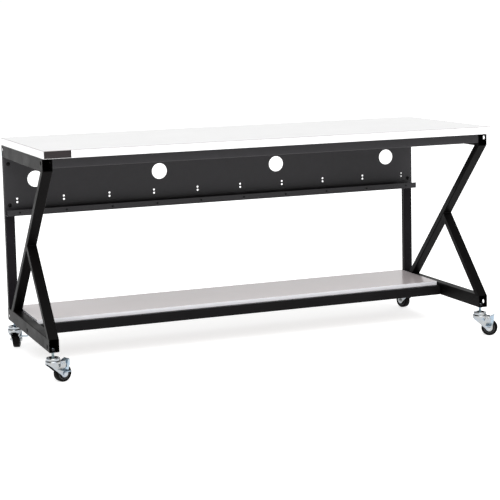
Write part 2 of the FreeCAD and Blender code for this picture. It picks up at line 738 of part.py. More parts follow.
def cheek_outline():
    """Side view (x, z) of the fork: skirt under the crown, swept front edge, axle lobe, raked rear edge."""
    half = CROWN_D / 2
    front = -half - 2
    lobe_front = TRAIL - CHEEK_LOBE_R
    lobe_rear = TRAIL + CHEEK_LOBE_R
    lobe_bottom = AXLE_Z - CHEEK_LOBE_R
    above = RACE_LEVEL + 1
    cheek_top = CROWN_TOP - CHEEK_TOP_DROP
    return [
        (front, above, 0),
        (front, CROWN_BOTTOM, 0),
        (SWEEP_START, CROWN_BOTTOM, SWEEP_ROUND),
        (lobe_front, AXLE_Z + SWEEP_END_RISE, SWEEP_ROUND),
        (lobe_front, lobe_bottom, CHEEK_LOBE_R),
        (lobe_rear, lobe_bottom, CHEEK_LOBE_R),
        (lobe_rear, AXLE_Z + CHEEK_REAR_RISE, CHEEK_REAR_ROUND),
        (TRAIL, cheek_top, CHEEK_TOP_DROP),
        (half, cheek_top, 0),
        (half, above, 0),
    ]


def fork():
    """Pressed steel fork: crown with the ball race, shoulders, and the two cheeks that hold the axle."""
    body = crown(0).fuse(shoulder(0, CHEEK_OUTER))
    cheek_rear = TRAIL + CHEEK_LOBE_R + 1
    for inner, outer in ((CHEEK_INNER, CHEEK_OUTER), (-CHEEK_OUTER, -CHEEK_INNER)):
        body = body.fuse(box(0, cheek_rear, inner, outer, 0, CROWN_TOP - CHEEK_TOP_DROP))
    side_view = extruded(cheek_outline(), lambda x, z: Vector(x, -CROWN_D, z), Vector(0, 2 * CROWN_D, 0))
    body = body.common(side_view)
    hollow = crown(FORK_SHEET).fuse(shoulder(FORK_SHEET, CHEEK_INNER))
    hollow = hollow.fuse(box(-CROWN_D, cheek_rear, -CHEEK_INNER, CHEEK_INNER, 0, CROWN_BOTTOM))
    body = body.cut(hollow)
    kingpin_radius = STEM_D / 2 + RUNNING_CLEARANCE
    body = body.cut(Part.makeCylinder(kingpin_radius, 2 * CROWN_HEIGHT, Vector(0, 0, CROWN_BOTTOM)))
    holes = [(TRAIL, AXLE_Z, AXLE_D), (BRAKE_PIN_OFFSET, BRAKE_PIN_HEIGHT, BRAKE_PIN_D)]
    for x, z, diameter in holes:
        body = body.cut(rod(diameter / 2, Vector(x, -CROWN_D, z), Vector(x, CROWN_D, z)))
    return body


def axle():
    """Axle bolt, its nut, and the spacer sleeve that the wheel turns on."""
    head_seat = Vector(TRAIL, -CHEEK_OUTER, AXLE_Z)
    nut_seat = Vector(TRAIL, CHEEK_OUTER, AXLE_Z)
    across = Vector(0, 1, 0)
    thread_end = nut_seat + across * (AXLE_NUT_H + AXLE_THREAD_END)
    head = hexagon(BOLT_HEAD_AF, BOLT_HEAD_H, head_seat, across * -1)
    bolt = head.fuse(rod(AXLE_D / 2, head_seat, thread_end)).removeSplitter()
    nut = hexagon(BOLT_HEAD_AF, AXLE_NUT_H, nut_seat, across)
    nut = nut.cut(rod(AXLE_D / 2, nut_seat - across, thread_end))
    sleeve = rod(SLEEVE_D / 2, Vector(TRAIL, -CHEEK_INNER, AXLE_Z), Vector(TRAIL, CHEEK_INNER, AXLE_Z))
    return [bolt, nut, sleeve.cut(rod(AXLE_D / 2, head_seat, nut_seat))]


def upright_wheel(solid):
    return turned_up(solid, Vector(TRAIL, 0, AXLE_Z))


def tread():
    """Rubber tyre, crowned so that it rolls on its middle."""
    outer = WHEEL_D / 2
    inner = outer - TREAD_THICKNESS
    half = WHEEL_WIDTH / 2
    edge = outer - TREAD_CROWN
    middle = Part.Arc(Vector(edge, 0, -half), Vector(outer, 0, 0), Vector(edge, 0, half)).toShape()
    corners = [Vector(edge, 0, half), Vector(inner, 0, half), Vector(inner, 0, -half), Vector(edge, 0, -half)]
    section = Part.Face(Part.Wire([middle] + Part.makePolygon(corners).Edges))
    tyre = section.revolve(Vector(0, 0, 0), Vector(0, 0, 1), 360)
    rims = [e for e in tyre.Edges if abs(e.BoundBox.XMax - edge) < 0.01 and e.BoundBox.ZLength < 0.01]
    return upright_wheel(tyre.makeFillet(TREAD_SHOULDER, rims))


def wheel_core():
    """Moulded core: rim under the tread, dished web, and hub running on the sleeve."""
    rim = WHEEL_D / 2 - TREAD_THICKNESS
    rim_inner = rim - RIM_THICKNESS
    bore = SLEEVE_D / 2 + RUNNING_CLEARANCE
    hub = HUB_D / 2
    hub_half = HUB_WIDTH / 2
    web_half = WEB_THICKNESS / 2
    rim_half = WHEEL_WIDTH / 2 - RIM_RECESS
    upper = [
        (bore, hub_half, 0),
        (hub, hub_half, CORE_ROUND / 2),
        (hub, web_half, CORE_ROUND),
        (rim_inner, web_half, CORE_ROUND),
        (rim_inner, rim_half, CORE_ROUND / 3),
        (rim, rim_half, 0),
    ]
    lower = [(radius, -height, rounding) for radius, height, rounding in reversed(upper)]
    return upright_wheel(revolved(upper + lower))


def brake_pin():
    """Pivot rivet of the brake, through both cheeks, with a head on each side."""
    reach = CHEEK_OUTER + BRAKE_PIN_HEAD_H
    pin = rod(BRAKE_PIN_D / 2, brake_point(0, 0, -reach), brake_point(0, 0, reach))
    for side in (-1, 1):
        seat = brake_point(0, 0, side * CHEEK_OUTER)
        head = rod(BRAKE_PIN_HEAD_D / 2, seat, brake_point(0, 0, side * reach))
        pin = pin.fuse(head)
    return pin.removeSplitter()


def brake_point(along, up, across):
    """Point given from the brake's pivot in the fork's side view."""
    return Vector(BRAKE_PIN_OFFSET + along, across, BRAKE_PIN_HEIGHT + up)


def brake_prism(corners, near, far):
    """Prism across the fork over an outline given from the brake's pivot."""
    return extruded(corners, lambda a, b: brake_point(a, b, near), Vector(0, far - near, 0))


def pedal(half):
    """Barrel round the pin and a channel whose side flanges bear on the tread."""
    rise = math.tan(math.radians(PEDAL_RISE_DEG))
    top = BRAKE_BARREL_D / 2
    bend = BRAKE_BARREL_D / 4
    end = PEDAL_END - BRAKE_PIN_OFFSET
    end_top = top + (end - bend) * rise
    shoe = SHOE_CLEARANCE - BRAKE_PIN_RISE
    shoe_end = TRAIL + SHOE_REACH - BRAKE_PIN_OFFSET
    outside = [
        (0, top, 0),
        (0, shoe, 0),
        (shoe_end, shoe, SHOE_ROUND),
        (end, end_top - PEDAL_LIP, PEDAL_BEND / 2),
        (end, end_top, PEDAL_BEND / 2),
        (bend, top, PEDAL_BEND),
    ]
    past = end + PEDAL_LIP
    inside = [
        (-top, top - BRAKE_SHEET, 0),
        (-top, shoe - PEDAL_LIP, 0),
        (past, shoe - PEDAL_LIP, 0),
        (past, end_top - BRAKE_SHEET + PEDAL_LIP * rise, 0),
        (bend, top - BRAKE_SHEET, PEDAL_BEND),
    ]
    flange = half - BRAKE_SHEET
    channel = brake_prism(outside, -half, half).cut(brake_prism(inside, -flange, flange))
    return channel.fuse(rod(top, brake_point(0, 0, -half), brake_point(0, 0, half)))


def side_arm(half):
    """Arm that leaves the pedal's tip behind the cheek, runs down outside it and ends in a foot tab."""
    rise = math.tan(math.radians(PEDAL_RISE_DEG))
    top = BRAKE_BARREL_D / 2
    end = PEDAL_END - BRAKE_PIN_OFFSET
    end_top = top + (end - BRAKE_BARREL_D / 4) * rise
    start = end - BRIDGE_LENGTH
    start_top = end_top - BRIDGE_LENGTH * rise
    tab_bottom = AXLE_Z + SIDE_TAB_RISE - BRAKE_PIN_HEIGHT
    tab_top = tab_bottom + BRAKE_SHEET
    tab_front = TRAIL - SIDE_TAB_FRONT - BRAKE_PIN_OFFSET
    back = TRAIL + CHEEK_LOBE_R + SIDE_ARM_BACK - BRAKE_PIN_OFFSET
    inner = -CHEEK_OUTER - SIDE_ARM_GAP
    outer = inner - BRAKE_SHEET
    bridge = [
        (start, start_top, 0),
        (start, start_top - BRAKE_SHEET, 0),
        (end, end_top - BRAKE_SHEET, BRAKE_EASING),
        (end, end_top, BRAKE_EASING),
    ]
    arm = [
        (start, start_top, 0),
        (start - 2, top, SIDE_ARM_ROUND),
        (back - SIDE_ARM_WIDTH, tab_top + SIDE_ARM_ROUND, SIDE_ARM_ROUND),
        (tab_front, tab_top, 0),
        (tab_front, tab_bottom, 0),
        (back - SIDE_ARM_BACK, tab_bottom, SIDE_ARM_ROUND),
        (back, top - SIDE_ARM_ROUND, SIDE_ARM_ROUND),
        (end, end_top - BRAKE_EASING, BRAKE_EASING),
    ]
    tab = rectangle(tab_front, tab_front + SIDE_TAB_LENGTH, tab_bottom, tab_top, BRAKE_EASING)
    joined = brake_prism(bridge, outer, BRAKE_SHEET - half).fuse(brake_prism(arm, outer, inner))
    return joined.fuse(brake_prism(tab, -SIDE_TAB_REACH, inner))


def brake_lever():
    """Top-lock lever: pedal over the wheel, and the arm with the foot tab beside it."""
    half = CHEEK_INNER - BRAKE_SIDE_GAP
    lever = pedal(half).fuse(side_arm(half))
    bore = BRAKE_PIN_D / 2 + RUNNING_CLEARANCE
    return lever.cut(rod(bore, brake_point(0, 0, -half - 1), brake_point(0, 0, half + 1))).removeSplitter()


def caster_places():
    """Stem position and heading of each caster."""
    front = FRAME_FRONT + STEM_SETBACK_FRONT
    rear = FRAME_REAR - STEM_SETBACK_REAR
    places = {}
    for corner, heading in CASTER_HEADINGS.items():
        row, side = corner.split("_")
        x = side_rows()[side][0]
        places[corner] = (Vector(x, front if row == "front" else rear, 0), heading)
    return places


def placed(solid, position, heading):
    turned = solid.copy()
    turned.rotate(Vector(0, 0, 0), Vector(0, 0, 1), heading)
    turned.translate(position)
    return turned


# ================================================================ the assembly
def frame_nodes():
    nodes = {}
    places = caster_places()
    stems = sorted({round(position.y, 6) for position, _ in places.values()})
    rail_y = {name: front + RAIL_SIZE / 2 for name, (front, _) in RAILS.items()}
    rail_z = {name: bottom + RAIL_SIZE / 2 for name, (_, bottom) in RAILS.items()}
    top_bolts = [(rail_y[name], rail_z[name]) for name in ("top_front_rail", "top_rear_rail")]
    base_bolts = [(rail_y[name], rail_z[name]) for name in ("shelf_front_rail", "shelf_rear_rail")]
    spare = [(FRAME_FRONT + SPARE_HOLE_SETBACK, rail_z["shelf_front_rail"])]
    for side, (x, outward) in side_rows().items():
        top_tube = side_tube(x, outward, UPPER_BOTTOM, top_bolts, [], side_screw_rows(), [])
        base_tube = side_tube(x, outward, BASE_BOTTOM, base_bolts, spare, [], stems)
        nodes[f"{side}_top_tube"] = [top_tube]
        nodes[f"{side}_base_tube"] = [base_tube]
        nodes[f"{side}_long_diagonal"] = [long_diagonal(x)]
        nodes[f"{side}_strut"] = [strut(x)]
        nodes[f"{side}_rear_post"] = [rear_post(x)]
    for name in RAILS:
        nodes[name] = [cross_rail(name)]
    nodes["rail_nut_plates"] = rail_nut_plates()
    nodes["rail_bolts"] = rail_bolts()
    nodes["back_panel"] = [back_panel()]
    nodes["panel_screws"] = panel_screws()
    return nodes


def worktop_nodes():
    points = worktop_screw_points()
    backer_top = UPPER_TOP + TOP_BACKER
    core_top = WORKTOP_TOP - TOP_LAMINATE
    core = worktop_layer(backer_top, core_top)
    backer = worktop_layer(UPPER_TOP, backer_top)
    return {
        "worktop_core": [drilled(core, points, UPPER_TOP, WORKTOP_SCREW_BITE)],
        "worktop_laminate": [worktop_layer(core_top, WORKTOP_TOP)],
        "worktop_backer": [drilled(backer, points, UPPER_TOP, WORKTOP_SCREW_BITE)],
        "worktop_edge_band": worktop_edge_band(),
        "worktop_screws": [upward_screw(x, y, UPPER_TOP, WORKTOP_SCREW_BITE) for x, y in points],
    }


def shelf_nodes():
    points = shelf_screw_points()
    bottom = SHELF_TOP - SHELF_THICKNESS
    core_bottom = bottom + SHELF_BACKER
    core_top = SHELF_TOP - SHELF_LAMINATE
    return {
        "shelf_board": [drilled(shelf_layer(core_bottom, core_top), points, bottom, SHELF_SCREW_BITE)],
        "shelf_laminate": [shelf_layer(core_top, SHELF_TOP)],
        "shelf_backer": [drilled(shelf_layer(bottom, core_bottom), points, bottom, SHELF_SCREW_BITE)],
        "shelf_edge_band": shelf_edge_bands(),
        "shelf_screws": [upward_screw(x, y, bottom, SHELF_SCREW_BITE) for x, y in points],
    }


def caster_nodes():
    nodes = {"caster_stems": [], "stem_nuts": [], "swivel_caps": [], "swivel_balls": []}
    masters = {
        "fork": [fork()],
        "axle": axle(),
        "tread": [tread()],
        "wheel_core": [wheel_core()],
        "brake_pin": [brake_pin()],
        "brake_lever": [brake_lever()],
    }
    for corner, (position, heading) in caster_places().items():
        nodes["caster_stems"].append(placed(caster_stem(), position, heading))
        nodes["stem_nuts"].append(placed(stem_nut(), position, 0))
        nodes["swivel_caps"].append(placed(swivel_cap(), position, heading))
        nodes["swivel_balls"] += [placed(ball, position, heading) for ball in swivel_balls()]
        for name, solids in masters.items():
            nodes[f"{corner}_{name}"] = [placed(solid, position, heading) for solid in solids]
    return nodes


def export(name, shapes):
    solids = [solid for shape in shapes for solid in shape.Solids]
    shape = solids[0] if len(solids) == 1 else Part.makeCompound(solids)
    shape.exportStep(f"parts/{name}.step")


os.makedirs("parts", exist_ok=True)
for group in (frame_nodes(), worktop_nodes(), shelf_nodes(), caster_nodes()):
    for node_name, node_shapes in group.items():
        export(node_name, node_shapes)
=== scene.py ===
"""Visual model of a mobile assembly table, dressed around its CAD frame."""

import json
import math

import bpy
from bpy.props import FloatProperty, FloatVectorProperty, IntProperty, PointerProperty
from mathutils import Matrix, Vector


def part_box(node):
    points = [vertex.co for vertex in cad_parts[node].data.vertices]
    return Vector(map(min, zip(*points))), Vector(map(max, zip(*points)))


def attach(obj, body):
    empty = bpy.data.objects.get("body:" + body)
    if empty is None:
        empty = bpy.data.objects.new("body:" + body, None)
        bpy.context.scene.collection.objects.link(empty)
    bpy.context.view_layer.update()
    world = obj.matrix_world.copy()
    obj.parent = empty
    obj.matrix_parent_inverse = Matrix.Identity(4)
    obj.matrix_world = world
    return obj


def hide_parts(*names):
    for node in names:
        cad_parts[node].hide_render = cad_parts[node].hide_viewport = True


bl_info = {
    "name": "Assembly Table Dresser",
    "version": (1, 0, 0),
    "blender": (4, 5, 0),
    "location": "View3D > Sidebar > Assembly Table",
    "description": "Adds finishes, weld beads, threads and fittings to a mobile assembly table",
    "category": "Object",
}

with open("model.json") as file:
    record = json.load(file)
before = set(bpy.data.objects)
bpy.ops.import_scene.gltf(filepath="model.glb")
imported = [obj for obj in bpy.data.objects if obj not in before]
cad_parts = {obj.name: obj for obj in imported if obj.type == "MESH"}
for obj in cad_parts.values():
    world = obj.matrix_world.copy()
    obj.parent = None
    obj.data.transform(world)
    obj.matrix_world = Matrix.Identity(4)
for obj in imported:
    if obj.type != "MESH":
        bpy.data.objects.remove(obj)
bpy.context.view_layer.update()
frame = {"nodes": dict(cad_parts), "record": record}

MM = 0.001
SIDES = ("left", "right")
CORNERS = ("front_left", "front_right", "rear_left", "rear_right")


def mm(*values):
    """Millimetres as metres."""
    return tuple(value * MM for value in values)


def outline(*points):
    """(radius, height) pairs in metres from pairs in millimetres."""
    return [mm(*point) for point in points]


def linear(code):
    """Linear colour of an sRGB hex value."""
    channels = [int(code[i:i + 2], 16) / 255 for i in (0, 2, 4)]
    return tuple(c / 12.92 if c <= 0.04045 else ((c + 0.055) / 1.055) ** 2.4 for c in channels)


# -------- places taken from the frame
WORKTOP_LOW, WORKTOP_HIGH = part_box("worktop_edge_band")
TOP_TUBE_LOW, TOP_TUBE_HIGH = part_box("left_top_tube")
BASE_TUBE_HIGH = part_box("left_base_tube")[1]
POST_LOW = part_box("left_rear_post")[0]
JOINTS = {joint["name"]: joint for joint in frame["record"]["behaviour"]["joints"]}


def joint_point(corner, joint):
    """Where one of a caster's joints is."""
    return Vector(JOINTS[f"{corner}_{joint}"]["pos_m"])


def stem_foot(corner):
    """Point on the floor below a caster's stem."""
    swivel = joint_point(corner, "swivel")
    return Vector((swivel.x, swivel.y, 0))


def wheel_axes(corner):
    """Unit vectors back along a caster's wheel and across it."""
    swivel, axle = joint_point(corner, "swivel"), joint_point(corner, "roll")
    back = Vector((axle.x - swivel.x, axle.y - swivel.y, 0)).normalized()
    return back, Vector(JOINTS[f"{corner}_roll"]["axis"]).normalized()


def lying(corner, joint):
    """Matrix that lays a piece made about Z along a caster's joint, across the wheel."""
    back, across = wheel_axes(corner)
    turn = Matrix((back, across.cross(back), across)).transposed().to_4x4()
    return Matrix.Translation(joint_point(corner, joint)) @ turn


def standing(corner, point):
    """Matrix that stands a piece at a point, its X pointing back along the wheel and its Y across it."""
    back, across = wheel_axes(corner)
    turn = Matrix((back, across, back.cross(across))).transposed().to_4x4()
    return Matrix.Translation(point) @ turn


# -------- small sizes of the fittings
LET_IN = 0.2 * MM  # the plate reaches this far into the edge band
PLATE_ROUND = 0.35 * MM
FIELD_SLOPE, FIELD_DEPTH = mm(0.3, 0.4)  # of the plate's field inside its border

BEAD_END_GAP = 4 * MM  # left bare, both ends together
BEAD_TIP, BEAD_SHOULDER, BEAD_VALLEY, BEAD_CREST = 0.35, 0.8, 0.9, 1.08  # radii, as shares of the bead's
BEAD_ROUND, BEAD_START = 0.25, 0.5  # in from a bead's end, as shares of its radius
CREST_AT = 0.55  # of a ripple
BEAD_SIDES = 14

THREAD_DEPTH = 0.61  # of the pitch
THREAD_SINK = 0.3  # of the pitch, how deep a ridge is rooted in its core
THREAD_FLANKS = (0.06, 0.44, 0.56, 0.94)  # of the pitch: root, crest, crest, root
THREAD_STEPS = 24
CHAMFER_SLOPE = 0.577  # tangent of a turned chamfer's 30 degrees
CHAMFER_SIDES = 48

STEM_HEAD = outline((6.3, 0), (7.6, 0.35), (8.3, 1.0), (8.5, 1.9), (8.5, 3.0))  # riveted over
STEM_WASHER = outline((10.7, 3.0), (11.0, 3.3), (11.0, 4.7), (10.7, 5.0))
STEM_RUNOUT = mm(4.4, 4.0, 3.2)  # below the cap's top: ridge, plain shank's end, full depth
STEM_TIP = mm(1.2, 0.6)  # below the stem's top: chamfer, ridge's end
STEM_CHAMFER = 1.0 * MM

CHEEK_OUTSIDE, CHEEK_INSIDE = mm(17.0, 14.5)  # from the wheel's middle
BOLT_FACE, BOLT_HEAD = mm(0.6, 5.3)  # out from the cheek, as all that follows of the axle
FACE_EDGE, FACE_ROOT = mm(0.2, 0.8)
NUT_HEIGHT = 5.4 * MM
COLLAR = outline((5.6, 5.0), (5.6, 6.2), (5.1, 6.8))
COLLAR_PLAY = 0.02 * MM
AXLE_RUNOUT = mm(5.6, 5.8, 6.2)  # plain shank's end, ridge, full depth
AXLE_END = 9.8 * MM
AXLE_TIP = mm(0.8, 0.2)  # below the axle's end: chamfer, ridge's end
AXLE_CHAMFER = 0.6 * MM
HEX_CHAMFER = 0.25 * MM
SLEEVE_RADIUS = 6 * MM

RIVET_HEAD = outline((1.3, 0.9), (1.8, 1.8), (3.3, 1.75), (4.3, 1.1), (4.5, 0.4), (4.5, 0), (2.5, 0))
SCREW = outline((3.0, -9.0), (3.0, 0), (8.0, 0), (7.95, 0.6), (7.3, 1.9), (5.9, 3.1), (3.6, 3.8), (1.2, 4.0))
RECESS_LOW, RECESS_HIGH = mm(-3.4, -0.6, 1.6), mm(3.4, 0.6, 6)
RECESS_ROUND = 0.15 * MM
FIRST_SPIN, SPIN_STEP = 23, 31  # degrees; each screw was driven home at its own angle
PANEL_SHEET = 1.5 * MM

RIB_NEAR, RIB_FAR = mm(3.2, 10.6)  # from the wheel's middle
RIB_INNER, RIB_OUTER = mm(10.2, 20.8)
RIB_ROUND = 0.35 * MM
TREAD_FACE = 12.5 * MM  # from the wheel's middle
RING_RADII = mm(25.2, 27.4)
RING_FOOT, RING_TOP, RING_RISE = mm(0.5, 0.25, 0.3)
RING_STEPS = 64

RIDGE_START_MM, RIDGE_SPACING_MM = 4.4, 4.6
RIDGE_WIDTH, RIDGE_HALF_LENGTH, RIDGE_SINK = mm(1.8, 9.5, 0.3)
PEDAL_START = mm(2.3, 0, 4.6)  # from the brake's pivot to the pedal's top

CROWN_SIDE = math.radians(24)  # arc of the crown above each straight side of the cheeks' plan
QUARTER_STEPS = 12
RIM_OVERLAP, EDGE_STEP = mm(1.5, 0.3)  # of the skirt into the rim, and of its front edge below the rim
SKIRT_SPARE = 10 * MM  # below the slanting edge, cut away
CHEEK_PLAY, CHEEK_SEAM = mm(0.02, 0.2)  # of the cheek plates, inside the skirt's faces and over its cut
CHEEK_PAST, CHEEK_ABOVE = mm(3, 6)  # of the cheek plates, past the skirt and above its shoulders
CHEEK_ROUND = 0.1 * MM


# ======== settings
def colour_of(name, description, code):
    """Colour setting with an sRGB hex default."""
    return FloatVectorProperty(
        name=name, description=description, subtype="COLOR", size=3, min=0, max=1, default=linear(code))


def length_of(name, description, millimetres):
    """Length setting with a default in millimetres."""
    return FloatProperty(name=name, description=description, unit="LENGTH", default=millimetres * MM)


def number_of(name, description, default, **more):
    """Number setting, in its own unit."""
    return FloatProperty(name=name, description=description, default=default, **more)


class TableColours(bpy.types.PropertyGroup):
    """Colours of the table's finishes."""

    laminate: colour_of("Worktop laminate", "Pressed melamine sheet of the worktop", "E8E8E8")
    edge_band: colour_of("Worktop edge", "Plastic band around the worktop", "FAFAFB")
    shelf: colour_of("Shelf laminate", "Glossy melamine sheet of the shelf", "D4CCCD")
    shelf_edge: colour_of("Shelf edge", "Plastic band on the shelf's edges", "ECECF0")
    coat: colour_of("Powder coat", "Baked powder coat of the end frames", "060505")
    # Painted light: the shelf's front rail is the same black powder coat as the end frames, given a paler
    # tone of its own for the light it catches.
    rail: colour_of("Rail coat", "Powder coat of the shelf's front rail", "121112")
    # Painted light: the rear posts are the same black powder coat as the end frames, given a paler tone of
    # their own for the light they catch.
    post: colour_of("Post coat", "Powder coat of the rear posts", "1D1B1E")
    # Painted light: the back panel and the top front rail are the same black powder coat as the end frames,
    # given a much paler tone for the light and reflection the sheet catches.
    panel: colour_of("Panel coat", "Powder coat of the back panel and the top front rail", "29282B")
    zinc: colour_of("Zinc plate", "Bright zinc plating of the casters", "A9ADB1")
    stem: colour_of("Stem plate", "Blue-passivated zinc plating of the threaded stems", "BDCCD6")
    lever: colour_of("Lever plate", "Blue-passivated zinc plating of the brake levers", "A9B8C6")
    rubber: colour_of("Wheel rubber", "Moulded rubber of the treads", "0B0A0A")


class PlateSizes(bpy.types.PropertyGroup):
    """Blank plate on the worktop's front edge."""

    length: length_of("Length", "Along the edge", 100)
    height: length_of("Height", "Up the edge", 26)
    thickness: length_of("Thickness", "Off the edge", 1.2)
    border: length_of("Border", "Width of the raised border", 1.8)
    inset: length_of("Inset", "From the worktop's left end", 1.5)


class WeldSizes(bpy.types.PropertyGroup):
    """Weld beads at the end frames' joints."""

    knee_setback: length_of("Knee setback", "From the tubes' front ends back to the knee", 288)
    brace_depth: length_of("Brace depth", "Of the slanted tubes in the frame's plane", 25.4)
    radius: length_of("Bead radius", "Of the rounded bead", 3.0)
    ripple: length_of("Ripple", "Spacing of the ripples", 2.4)


class FastenerSizes(bpy.types.PropertyGroup):
    """Threads, nuts and screws."""

    stem_diameter: length_of("Stem", "Outside its thread", 11.1)
    stem_pitch: length_of("Stem pitch", "Of its thread", 1.81)
    axle_diameter: length_of("Axle", "Outside its thread", 8)
    axle_pitch: length_of("Axle pitch", "Of its thread", 1.25)
    hexagon: length_of("Across flats", "Of bolt head and nut", 13)
    turned_sides: IntProperty(name="Turned sides", description="Facets round a turned piece", default=40)


class WheelSizes(bpy.types.PropertyGroup):
    """Ribs of the wheels and ridges of the pedals."""

    ribs: IntProperty(name="Ribs", description="Radial ribs on each side of a wheel core", default=8)
    rib_thickness: length_of("Rib", "Thickness of a rib", 1.6)
    ridges: IntProperty(name="Ridges", description="Grip ridges across a pedal", default=4)
    ridge_height: length_of("Ridge", "Height of a grip ridge", 0.6)
    pedal_rise: number_of("Pedal rise", "Slope of the pedal", math.radians(27), subtype="ANGLE")


class ForkSizes(bpy.types.PropertyGroup):
    """Pressed skirts at the fronts of the forks."""

    crown_radius: length_of("Crown radius", "Outside the crown's rim", 29.45)
    crown_level: length_of("Crown level", "Of the rim's lower edge above the floor", 74.5)
    cheek_level: length_of("Cheek level", "Where the shoulders have become the cheeks", 58.5)
    half_width: length_of("Half width", "From the middle to a cheek's outside", 16.95)
    corner_radius: length_of("Corner radius", "Of the shoulder's plan", 8.5)
    rear: length_of("Rear", "Behind the swivel axis, where the cheeks' plan ends", 24)
    edge_drop: length_of("Edge drop", "Of the slanting front edge along the skirt", 46)
    sheet: length_of("Sheet", "Thickness of the pressed steel", 2.35)


class StageSettings(bpy.types.PropertyGroup):
    """Floor, surround and key light."""

    floor: colour_of("Floor", "Pale studio floor", "DADADA")
    floor_glow: number_of("Floor glow", "Light through the floor's acrylic sheet", 0.7)
    floor_size: number_of("Floor size", "Side of the floor", 240.0, unit="LENGTH")
    surround: number_of("Surround", "Strength of the surround near the horizon", 1.03)
    zenith: number_of("Zenith", "Share of the surround's strength overhead", 0.5)
    near_side: number_of("Near side", "Share of it on the near side", 0.3)
    left_side: number_of("Left side", "Share of it straight to the left", 0.25)
    sun: number_of("Key light", "Strength of the broad key light", 3.0)
    sun_spread: number_of("Key spread", "Angular size of the key light", math.radians(60), subtype="ANGLE")


# ======== modelling
def begin():
    """Leave everything unselected in object mode."""
    if bpy.context.object and bpy.context.object.mode != "OBJECT":
        bpy.ops.object.mode_set(mode="OBJECT")
    bpy.ops.object.select_all(action="DESELECT")


def select_only(*pieces):
    """Select these pieces and make the first one active."""
    begin()
    for piece in pieces:
        piece.select_set(True)
    bpy.context.view_layer.objects.active = pieces[0]


def edit_all():
    """Open the active piece with its whole mesh selected."""
    bpy.ops.object.mode_set(mode="EDIT")
    bpy.ops.mesh.select_all(action="SELECT")


def done(piece, smooth_deg=35):
    """Close edit mode with outward faces, and shade the piece."""
    if piece.mode != "EDIT":
        select_only(piece)
        edit_all()
    bpy.ops.mesh.select_all(action="SELECT")
    bpy.ops.mesh.remove_doubles(threshold=1e-6)
    bpy.ops.mesh.normals_make_consistent(inside=False)
    bpy.ops.object.mode_set(mode="OBJECT")
    bpy.ops.object.shade_smooth_by_angle(angle=math.radians(smooth_deg))
    return piece


def settle(piece):
    """Put the piece's place into its mesh."""
    select_only(piece)
    bpy.ops.object.transform_apply(location=True, rotation=True, scale=True)
    return piece


def discard(*pieces):
    """Delete pieces that were only masters or cutters."""
    select_only(*pieces)
    bpy.ops.object.delete()


def apply_modifier(piece, kind, **settings):
    """Change the piece's mesh by one modifier."""
    select_only(piece)
    modifier = piece.modifiers.new(kind.title(), kind)
    for name, value in settings.items():
        setattr(modifier, name, value)
    bpy.ops.object.modifier_apply(modifier=modifier.name)
    return piece


def turned(profile, sides):
    """Closed turned piece about Z, from (radius, height) pairs in order along its outside."""
    begin()
    radius, height = profile[0]
    bpy.ops.mesh.primitive_circle_add(
        vertices=sides, radius=radius, fill_type="NGON", location=(0, 0, height))
    piece = settle(bpy.context.object)
    edit_all()
    for next_radius, next_height in profile[1:]:
        bpy.ops.mesh.extrude_region_move(TRANSFORM_OT_translate={"value": (0, 0, next_height - height)})
        factor = next_radius / radius
        bpy.ops.transform.resize(value=(factor, factor, 1), center_override=(0, 0, next_height))
        radius, height = next_radius, next_height
    return done(piece)


def loop_through(points):
    """Closed loop of vertices through the points."""
    begin()
    bpy.ops.mesh.primitive_circle_add(vertices=len(points), radius=MM)
    loop = bpy.context.object
    for vertex, point in zip(loop.data.vertices, points):
        vertex.co = point
    return loop


def wound(profile, pitch, turns, steps):
    """Closed sweep of a small (radius, height) outline about Z, along a helix or once round for a ring."""
    piece = loop_through([(radius, 0, height) for radius, height in profile])
    ring = pitch == 0
    apply_modifier(
        piece, "SCREW", axis="Z", angle=2 * math.pi * turns, screw_offset=pitch * turns,
        steps=round(steps * turns), render_steps=round(steps * turns), use_merge_vertices=ring,
        merge_threshold=1e-6)
    edit_all()
    if not ring:
        bpy.ops.mesh.fill_holes(sides=len(profile))
    return done(piece)


def hex_blank(across_flats, low, high, chamfer):
    """Hexagonal prism about Z whose outer corners are chamfered at both ends as on a turned bolt head."""
    begin()
    radius = across_flats / math.sqrt(3)
    bpy.ops.mesh.primitive_cylinder_add(
        vertices=6, radius=radius, depth=high - low, location=(0, 0, (low + high) / 2))
    prism = settle(bpy.context.object)
    flat = across_flats / 2
    wide = radius + MM
    extra = (wide - flat + chamfer) * CHAMFER_SLOPE
    limits = [(flat - chamfer, low), (wide, low + extra), (wide, high - extra), (flat - chamfer, high)]
    blank = turned(limits, CHAMFER_SIDES)
    apply_modifier(prism, "BOOLEAN", operation="INTERSECT", object=blank, solver="EXACT")
    discard(blank)
    return done(prism)


def rounded_box(low, high, bevel, segments):
    """Box between two corners with its edges rounded, left in edit mode."""
    begin()
    low, high = Vector(low), Vector(high)
    bpy.ops.mesh.primitive_cube_add(size=1, location=(low + high) / 2)
    piece = bpy.context.object
    piece.scale = high - low
    settle(piece)
    edit_all()
    bpy.ops.mesh.bevel(offset=bevel, segments=segments, affect="EDGES", offset_type="OFFSET")
    return piece


def bar(low, high, bevel, segments=1):
    """Rectangular piece between two corners with its edges rounded."""
    return done(rounded_box(low, high, bevel, segments))


def copy_of(piece, place):
    """Copy with its own mesh, moved by a matrix that ends up in the mesh."""
    duplicate = piece.copy()
    duplicate.data = piece.data.copy()
    bpy.context.collection.objects.link(duplicate)
    duplicate.matrix_world = place
    return settle(duplicate)


def joined(name, pieces):
    """One piece made of several."""
    select_only(*pieces)
    if len(pieces) > 1:
        bpy.ops.object.join()
    piece = bpy.context.object
    piece.name = piece.data.name = name
    return piece


def finish_piece(piece, body, slot, finish=None):
    """Give the piece its body and its finish, which mostly has the slot's name."""
    piece.data.materials.clear()
    piece.data.materials.append(FINISHES[finish or slot])
    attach(piece, body)


